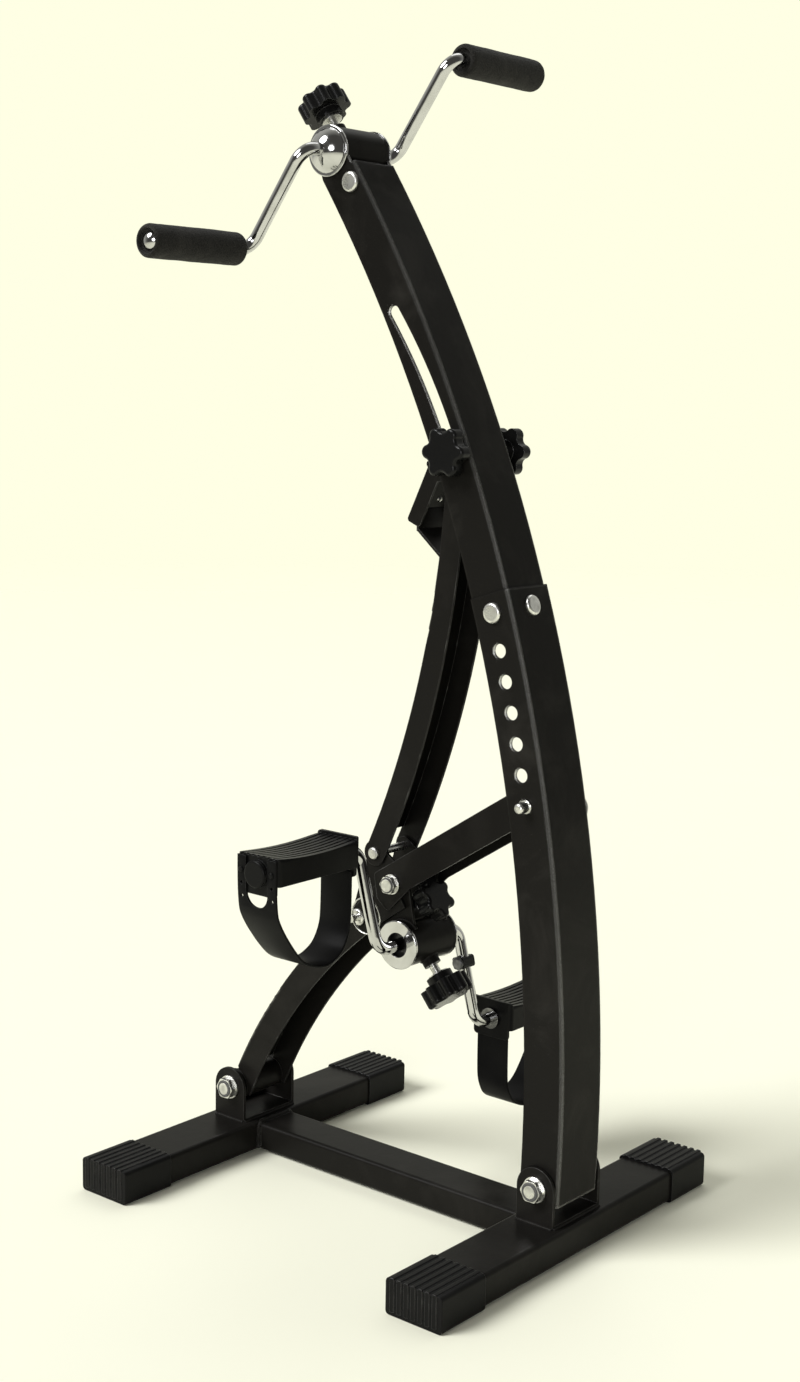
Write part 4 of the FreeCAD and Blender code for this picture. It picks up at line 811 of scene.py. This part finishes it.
def knob_thread(name, body, centre, angle):
    """The thread on a stud's bare stretch below its knob: a ridge that winds along it."""
    out = Vector((math.cos(math.radians(angle)), 0, math.sin(math.radians(angle))))
    start = centre + bare_stud_start * out
    outward = out.orthogonal().normalized()
    side = out.cross(outward)
    points = []
    steps = round(thread_steps * bare_stud_length / thread_pitch)
    for step in range(steps + 1):
        turn = 2 * math.pi * step / thread_steps
        rim = stud_radius * (math.cos(turn) * outward + math.sin(turn) * side)
        points.append(start + out * bare_stud_length * step / steps + rim)
    mesh = skin_along(name, points, [thread_depth] * len(points), 6)
    ridge = new_object(name, mesh, bright_zinc, 60)
    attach(ridge, body)


knob_thread("hand_knob_thread", "hand_tension", hand_barrel, hand_knob_angle)

# Height pin: a plated pin through the upright and the arm, with a round tip that stands out on
# the near side and a split ring to pull it by on the far side.
ring_wire = 0.00072
ring_coverage = 0.97
ring_crossing = (0.00058, 6)
painted(bright_zinc, "height_pin")


def split_ring(name, body, node):
    """Two close turns of spring wire in place of the plain ring."""
    low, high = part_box(node)
    centre = (low + high) / 2
    radius = (high.x - low.x) / 2 - ring_wire
    offset, steepness = ring_crossing
    points = []
    steps = 90
    for step in range(2 * steps + 1):
        turn = 4 * math.pi * step / (2 * steps) * ring_coverage
        rise = offset * math.tanh(steepness * (step / steps - 1))
        points.append(centre + Vector((radius * math.cos(turn), rise, radius * math.sin(turn))))
    ring = new_object(name, skin_along(name, points, [ring_wire] * len(points), 10), bright_zinc)
    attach(ring, body)
    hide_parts(node)


split_ring("height_split_ring", "height_lock_ring", "height_pin_ring")

# Slot bolt: the bolt that slides in the upright's long slot with the strut's head, between two
# plated washers, and is clamped by a black plastic star knob on each side.
painted(bright_zinc, "slot_bolt", "slot_washers")
painted(knob_plastic, "near_slot_knob", "far_slot_knob")

# Rear leg: a curved channel from the rear hinge, painted with the crank bracket's two plates.
# Bright washers, bolts and a lock pin with its own split ring hold arm, strut and bracket to it.
leg_half = 0.0268
bush_radius = 0.015
bush_bead = 0.0019
bush_weld_arc = (-30, 150)
arm_lock_ring_rim = 0.0074
painted(black_coat, "leg", "leg_bush", "crank_bracket")
painted(bright_zinc, "bracket_spacers", "arm_bolt", "strut_bolt", "fold_pin", "lock_knob_stud")
painted(knob_plastic, "lock_knob")
split_ring("fold_split_ring", "fold_lock_ring", "fold_pin_ring")


def round_welds(name, centre, half, radius, arc, steps, size):
    """A bead on the leg's near and far side along an arc, its angles from +X towards +Z."""
    for label, side in (("near", -1), ("far", 1)):
        points = []
        for step in range(steps + 1):
            turn = math.radians(arc[0] + (arc[1] - arc[0]) * step / steps)
            hub = Vector((centre.x, side * half, centre.z))
            points.append(hub + radius * Vector((math.cos(turn), 0, math.sin(turn))))
        weld_bead(name + "_" + label, "rear_leg", points, size)


round_welds("leg_bush_weld", middle("rear_hinge_bolt"), leg_half, bush_radius, bush_weld_arc, 40,
            bush_bead)
lock_ring("arm_lock_ring", "rear_leg", "arm_bolt", arm_lock_ring_rim)

# Arm: an inverted channel of folded steel from the leg's bolt to the height pin.
# It is painted with the frame, and its pin hole is a short slot.
painted(black_coat, "arm")

# Strut: a curved channel from the crank bracket up to the slot bolt, with a folded stop lip and
# a formed head over its top. Two small bright screws hold the head's inner liner, and a rivet holds
# its sloping face.
lip_tip_x, lip_tip_z = 0.0306, 0.6478
lip_sheet_half = 0.001
lip_fold_height = 0.0205
lip_fold_half = 0.0243
rivet_place = Vector((0.0345, 0.003, 0.6762))
rivet_direction = Vector((0.902, 0, -0.431))
rivet_radius = 0.0034
rivet_rise = 0.0019
painted(black_coat, "strut", "strut_head")
painted(bright_zinc, "strut_screws")
sheet_strip("lip_fold", "long_strut", (lip_tip_x - lip_sheet_half, lip_tip_z),
            (lip_tip_x + lip_sheet_half, lip_tip_z + lip_fold_height), lip_fold_half)
turned("head_rivet", "long_strut", bright_zinc,
       [(rivet_place, rivet_direction, dome_profile(rivet_radius, rivet_rise, closed_bore))], 32)

# Foot barrel: the same short tube as at the top, welded between the crank bracket's plates, with
# chromed cups, nylon bearings and its own tension knob below.
bracket_half = 0.0222
barrel_bead = 0.0022
barrel_weld_arc = (47, 205)
foot_barrel = middle("foot_cups")
foot_knob_angle = -50
painted(black_coat, "foot_barrel")
painted(chrome, "foot_cups")
painted(bearing_plastic, "foot_bushings")
painted(knob_plastic, "foot_knob")
painted(bright_zinc, "foot_knob_stud")
boss_weld("foot_boss_weld", "rear_leg", foot_barrel, foot_knob_angle)
knob_thread("foot_knob_thread", "foot_tension", foot_barrel, foot_knob_angle)
round_welds("barrel_weld", foot_barrel, bracket_half, barrel_radius, barrel_weld_arc, 60,
            barrel_bead)

# Foot crank: a chromed rod like the hand crank, with a chromed washer on each axle that keeps the
# pedal out, painted dark as a reflection of the dark pedal. A plastic clip on its far arm carries
# the magnet that a counter would read.
magnet_color = (0.2, 0.2, 0.205, 1)
magnet_dull_color = (0.12, 0.12, 0.12, 1)
# Painted dark reflection: the chromed washers are coloured dark for the pedal mirrored in them.
retainer_reflection_color = (0.2, 0.2, 0.2, 1)
retainer_reflection_dull_color = (0.1, 0.1, 0.1, 1)
foot_rod_end = 0.2025
foot_rod_bends = (0.06, 0.067)
near_axle, far_axle = middle("near_pedal_cap"), middle("far_pedal_cap")
crank_rod("foot_crank_rod", "foot_drive", "foot_crank", foot_barrel, near_axle, far_axle,
          foot_rod_end, foot_rod_bends)
magnet = plated_material(
    "magnet", magnet_color, magnet_dull_color, roughness=0.35, dull_roughness=0.5,
    patch_scale=200.0, depth=0.0002, edge_radius=0.0004)
retainer_dark_reflection = plated_material(
    "retainer_dark_reflection", retainer_reflection_color, retainer_reflection_dull_color, roughness=0.14, dull_roughness=0.25,
    patch_scale=120.0, depth=0.0001, edge_radius=0.0005)
painted(retainer_dark_reflection, "foot_retainers")
painted(knob_plastic, "magnet_clip")
painted(magnet, "magnet_disc")

# Pedals: hollow blocks of black moulded plastic with a dished, ribbed tread and a round hub in
# each end wall. They turn on the crank's axles behind a domed cap.
pedal_color = (0.0052, 0.0052, 0.0052, 1)
pedal_dust_color = (0.05, 0.048, 0.045, 1)
# The pedals' edges are painted lighter along their length, both as rubs and as a painted highlight.
pedal_rub_and_sheen_color = (0.16, 0.16, 0.155, 1)
pedal_plastic = skin_material(
    "pedal_plastic", pedal_color, pedal_dust_color, pedal_rub_and_sheen_color, roughness=0.3, shine=0.08,
    grain_scale=1300.0, depth=0.0003, edge_radius=0.001, top_smudge=0.1, side_smudge=0.06,
    rub=0.95, painted_edge_sheen=0.15)
painted(pedal_plastic, "near_pedal", "far_pedal", "near_pedal_cap", "far_pedal_cap")

# Foot straps: flat bands of black synthetic rubber that hang in a loop under each pedal. The
# outer end is forked round the hub, with a row of peg holes in each leg of the fork.
strap_color = (0.0055, 0.0055, 0.0055, 1)
strap_half_width = 0.0235
strap_tail_half_width = 0.0185
strap_thickness = 0.0024
strap_drop = 0.097
strap_length = 0.108
pedal_ends = (0.092, 0.2)
strap_shares = ((0.935, 0.5), (0.775, 0.74), (0.63, 0.905), (0.345, 1.0), (0.148, 0.903),
                (0.065, 0.748))
strap_fork_levels = (0.0145, -0.031)
strap_tail_levels = (-0.058, -0.014)
strap_tail_inset = 0.003
strap_edge_share = 0.42
strap_rim = 0.0004
fork_half_width = 0.013
fork_floor = -0.0312
peg_radius = 0.0017
peg_pitch = 0.012
lowest_peg = -0.0225
cutter_reach = 0.02
strap_rubber = skin_material(
    "strap_rubber", strap_color, pedal_dust_color, cap_rub_and_sheen_color, roughness=0.4, shine=0.05,
    grain_scale=900.0, depth=0.0002, edge_radius=0.0005, top_smudge=0.1, side_smudge=0.05,
    painted_edge_sheen=0.3)


def strap_line():
    """The strap's middle line as (y, z) pairs from its forked end, each corner rounded."""
    outer = -pedal_ends[1] - strap_thickness / 2
    inner = -pedal_ends[0] - strap_tail_inset - strap_thickness / 2
    corners = [(outer, level) for level in strap_fork_levels]
    corners += [(-pedal_ends[0] - a * strap_length, -d * strap_drop) for a, d in strap_shares]
    corners += [(inner, level) for level in strap_tail_levels]
    corners = [Vector(corner) for corner in corners]
    steps = 8
    line = [corners[0]]
    for before, corner, after in zip(corners, corners[1:], corners[2:]):
        start = before if before is corners[0] else (before + corner) / 2
        finish = after if after is corners[-1] else (corner + after) / 2
        start = start.lerp(corner, 0.1)
        finish = finish.lerp(corner, 0.1)
        for step in range(steps + 1):
            share = step / steps
            line.append(start.lerp(corner, share).lerp(corner.lerp(finish, share), share))
    line.append(corners[-1])
    return line


def strap_section(half_width):
    """The strap's section as (across, outward) pairs, its edges rounded."""
    round_edge = strap_thickness * strap_edge_share
    section = []
    for side_across, side_out, first in ((1, 1, 0), (-1, 1, 90), (-1, -1, 180), (1, -1, 270)):
        for step in range(4):
            turn = math.radians(first + 30 * step)
            section.append((
                side_across * (half_width - round_edge) + round_edge * math.cos(turn),
                side_out * (strap_thickness / 2 - round_edge) + round_edge * math.sin(turn),
            ))
    return section


def strap_cuts():
    """The cutter for the fork's opening and the peg holes."""
    def circle(centre_x, centre_z, radius, degrees):
        return [(centre_x + radius * math.cos(math.radians(a)),
                 centre_z + radius * math.sin(math.radians(a))) for a in degrees]

    cutter = bmesh.new()
    half = fork_half_width
    y_low, y_high = -pedal_ends[1] - cutter_reach, -pedal_ends[1] + cutter_reach
    arch = circle(0, fork_floor + half, half, range(180, 361, 10))
    prism(cutter, arch + [(half, cutter_reach), (-half, cutter_reach)], y_low, y_high)
    for side in (-1, 1):
        for step in range(3):
            ring = circle(side * 0.5 * (strap_half_width + half), lowest_peg + peg_pitch * step,
                          peg_radius, range(0, 360, 20))
            prism(cutter, ring, y_low, y_high)
    bmesh.ops.recalc_face_normals(cutter, faces=cutter.faces)
    mesh = bpy.data.meshes.new("strap_cuts")
    cutter.to_mesh(mesh)
    return mesh


def foot_strap(name, body, node, axle, side):
    """The band along its line, cut for the hub and the pegs, with its rims softened."""
    line = strap_line()
    vertices = []
    narrowing = strap_tail_half_width - strap_half_width
    for index, point in enumerate(line):
        tail_share = (point.x + pedal_ends[1]) / (pedal_ends[1] - pedal_ends[0])
        section = strap_section(strap_half_width + tail_share * narrowing)
        ahead = line[min(index + 1, len(line) - 1)] - line[max(index - 1, 0)]
        out = Vector((ahead.y, -ahead.x)).normalized()
        for across, outward in section:
            vertices.append((across, point.x + outward * out.x, point.y + outward * out.y))
    mesh = bpy.data.meshes.new(name)
    mesh.from_pydata(vertices, [], wrap_faces(len(line), len(section)))
    faces_outward(mesh)
    strap = new_object(name, mesh, strap_rubber)
    cutter = bpy.data.objects.new("strap_cutter", strap_cuts())
    bpy.context.scene.collection.objects.link(cutter)
    cut = strap.modifiers.new("cut", "BOOLEAN")
    cut.operation = "DIFFERENCE"
    cut.solver = "EXACT"
    cut.object = cutter
    rim = strap.modifiers.new("rim", "BEVEL")
    rim.width = strap_rim
    rim.segments = 2
    rim.angle_limit = math.radians(50)
    finished = strap.evaluated_get(bpy.context.evaluated_depsgraph_get())
    made = bpy.data.meshes.new_from_object(finished)
    strap.modifiers.clear()
    bpy.data.objects.remove(cutter)
    for vertex in made.vertices:
        vertex.co = (axle.x + vertex.co.x, -side * vertex.co.y, axle.z + vertex.co.z)
    if side > 0:
        made.flip_normals()
    strap.data = made
    made.shade_smooth()
    made.set_sharp_from_angle(angle=math.radians(40))
    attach(strap, body)
    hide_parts(node)


foot_strap("near_foot_strap", "near_footrest", "near_strap", near_axle, -1)
foot_strap("far_foot_strap", "far_footrest", "far_strap", far_axle, 1)
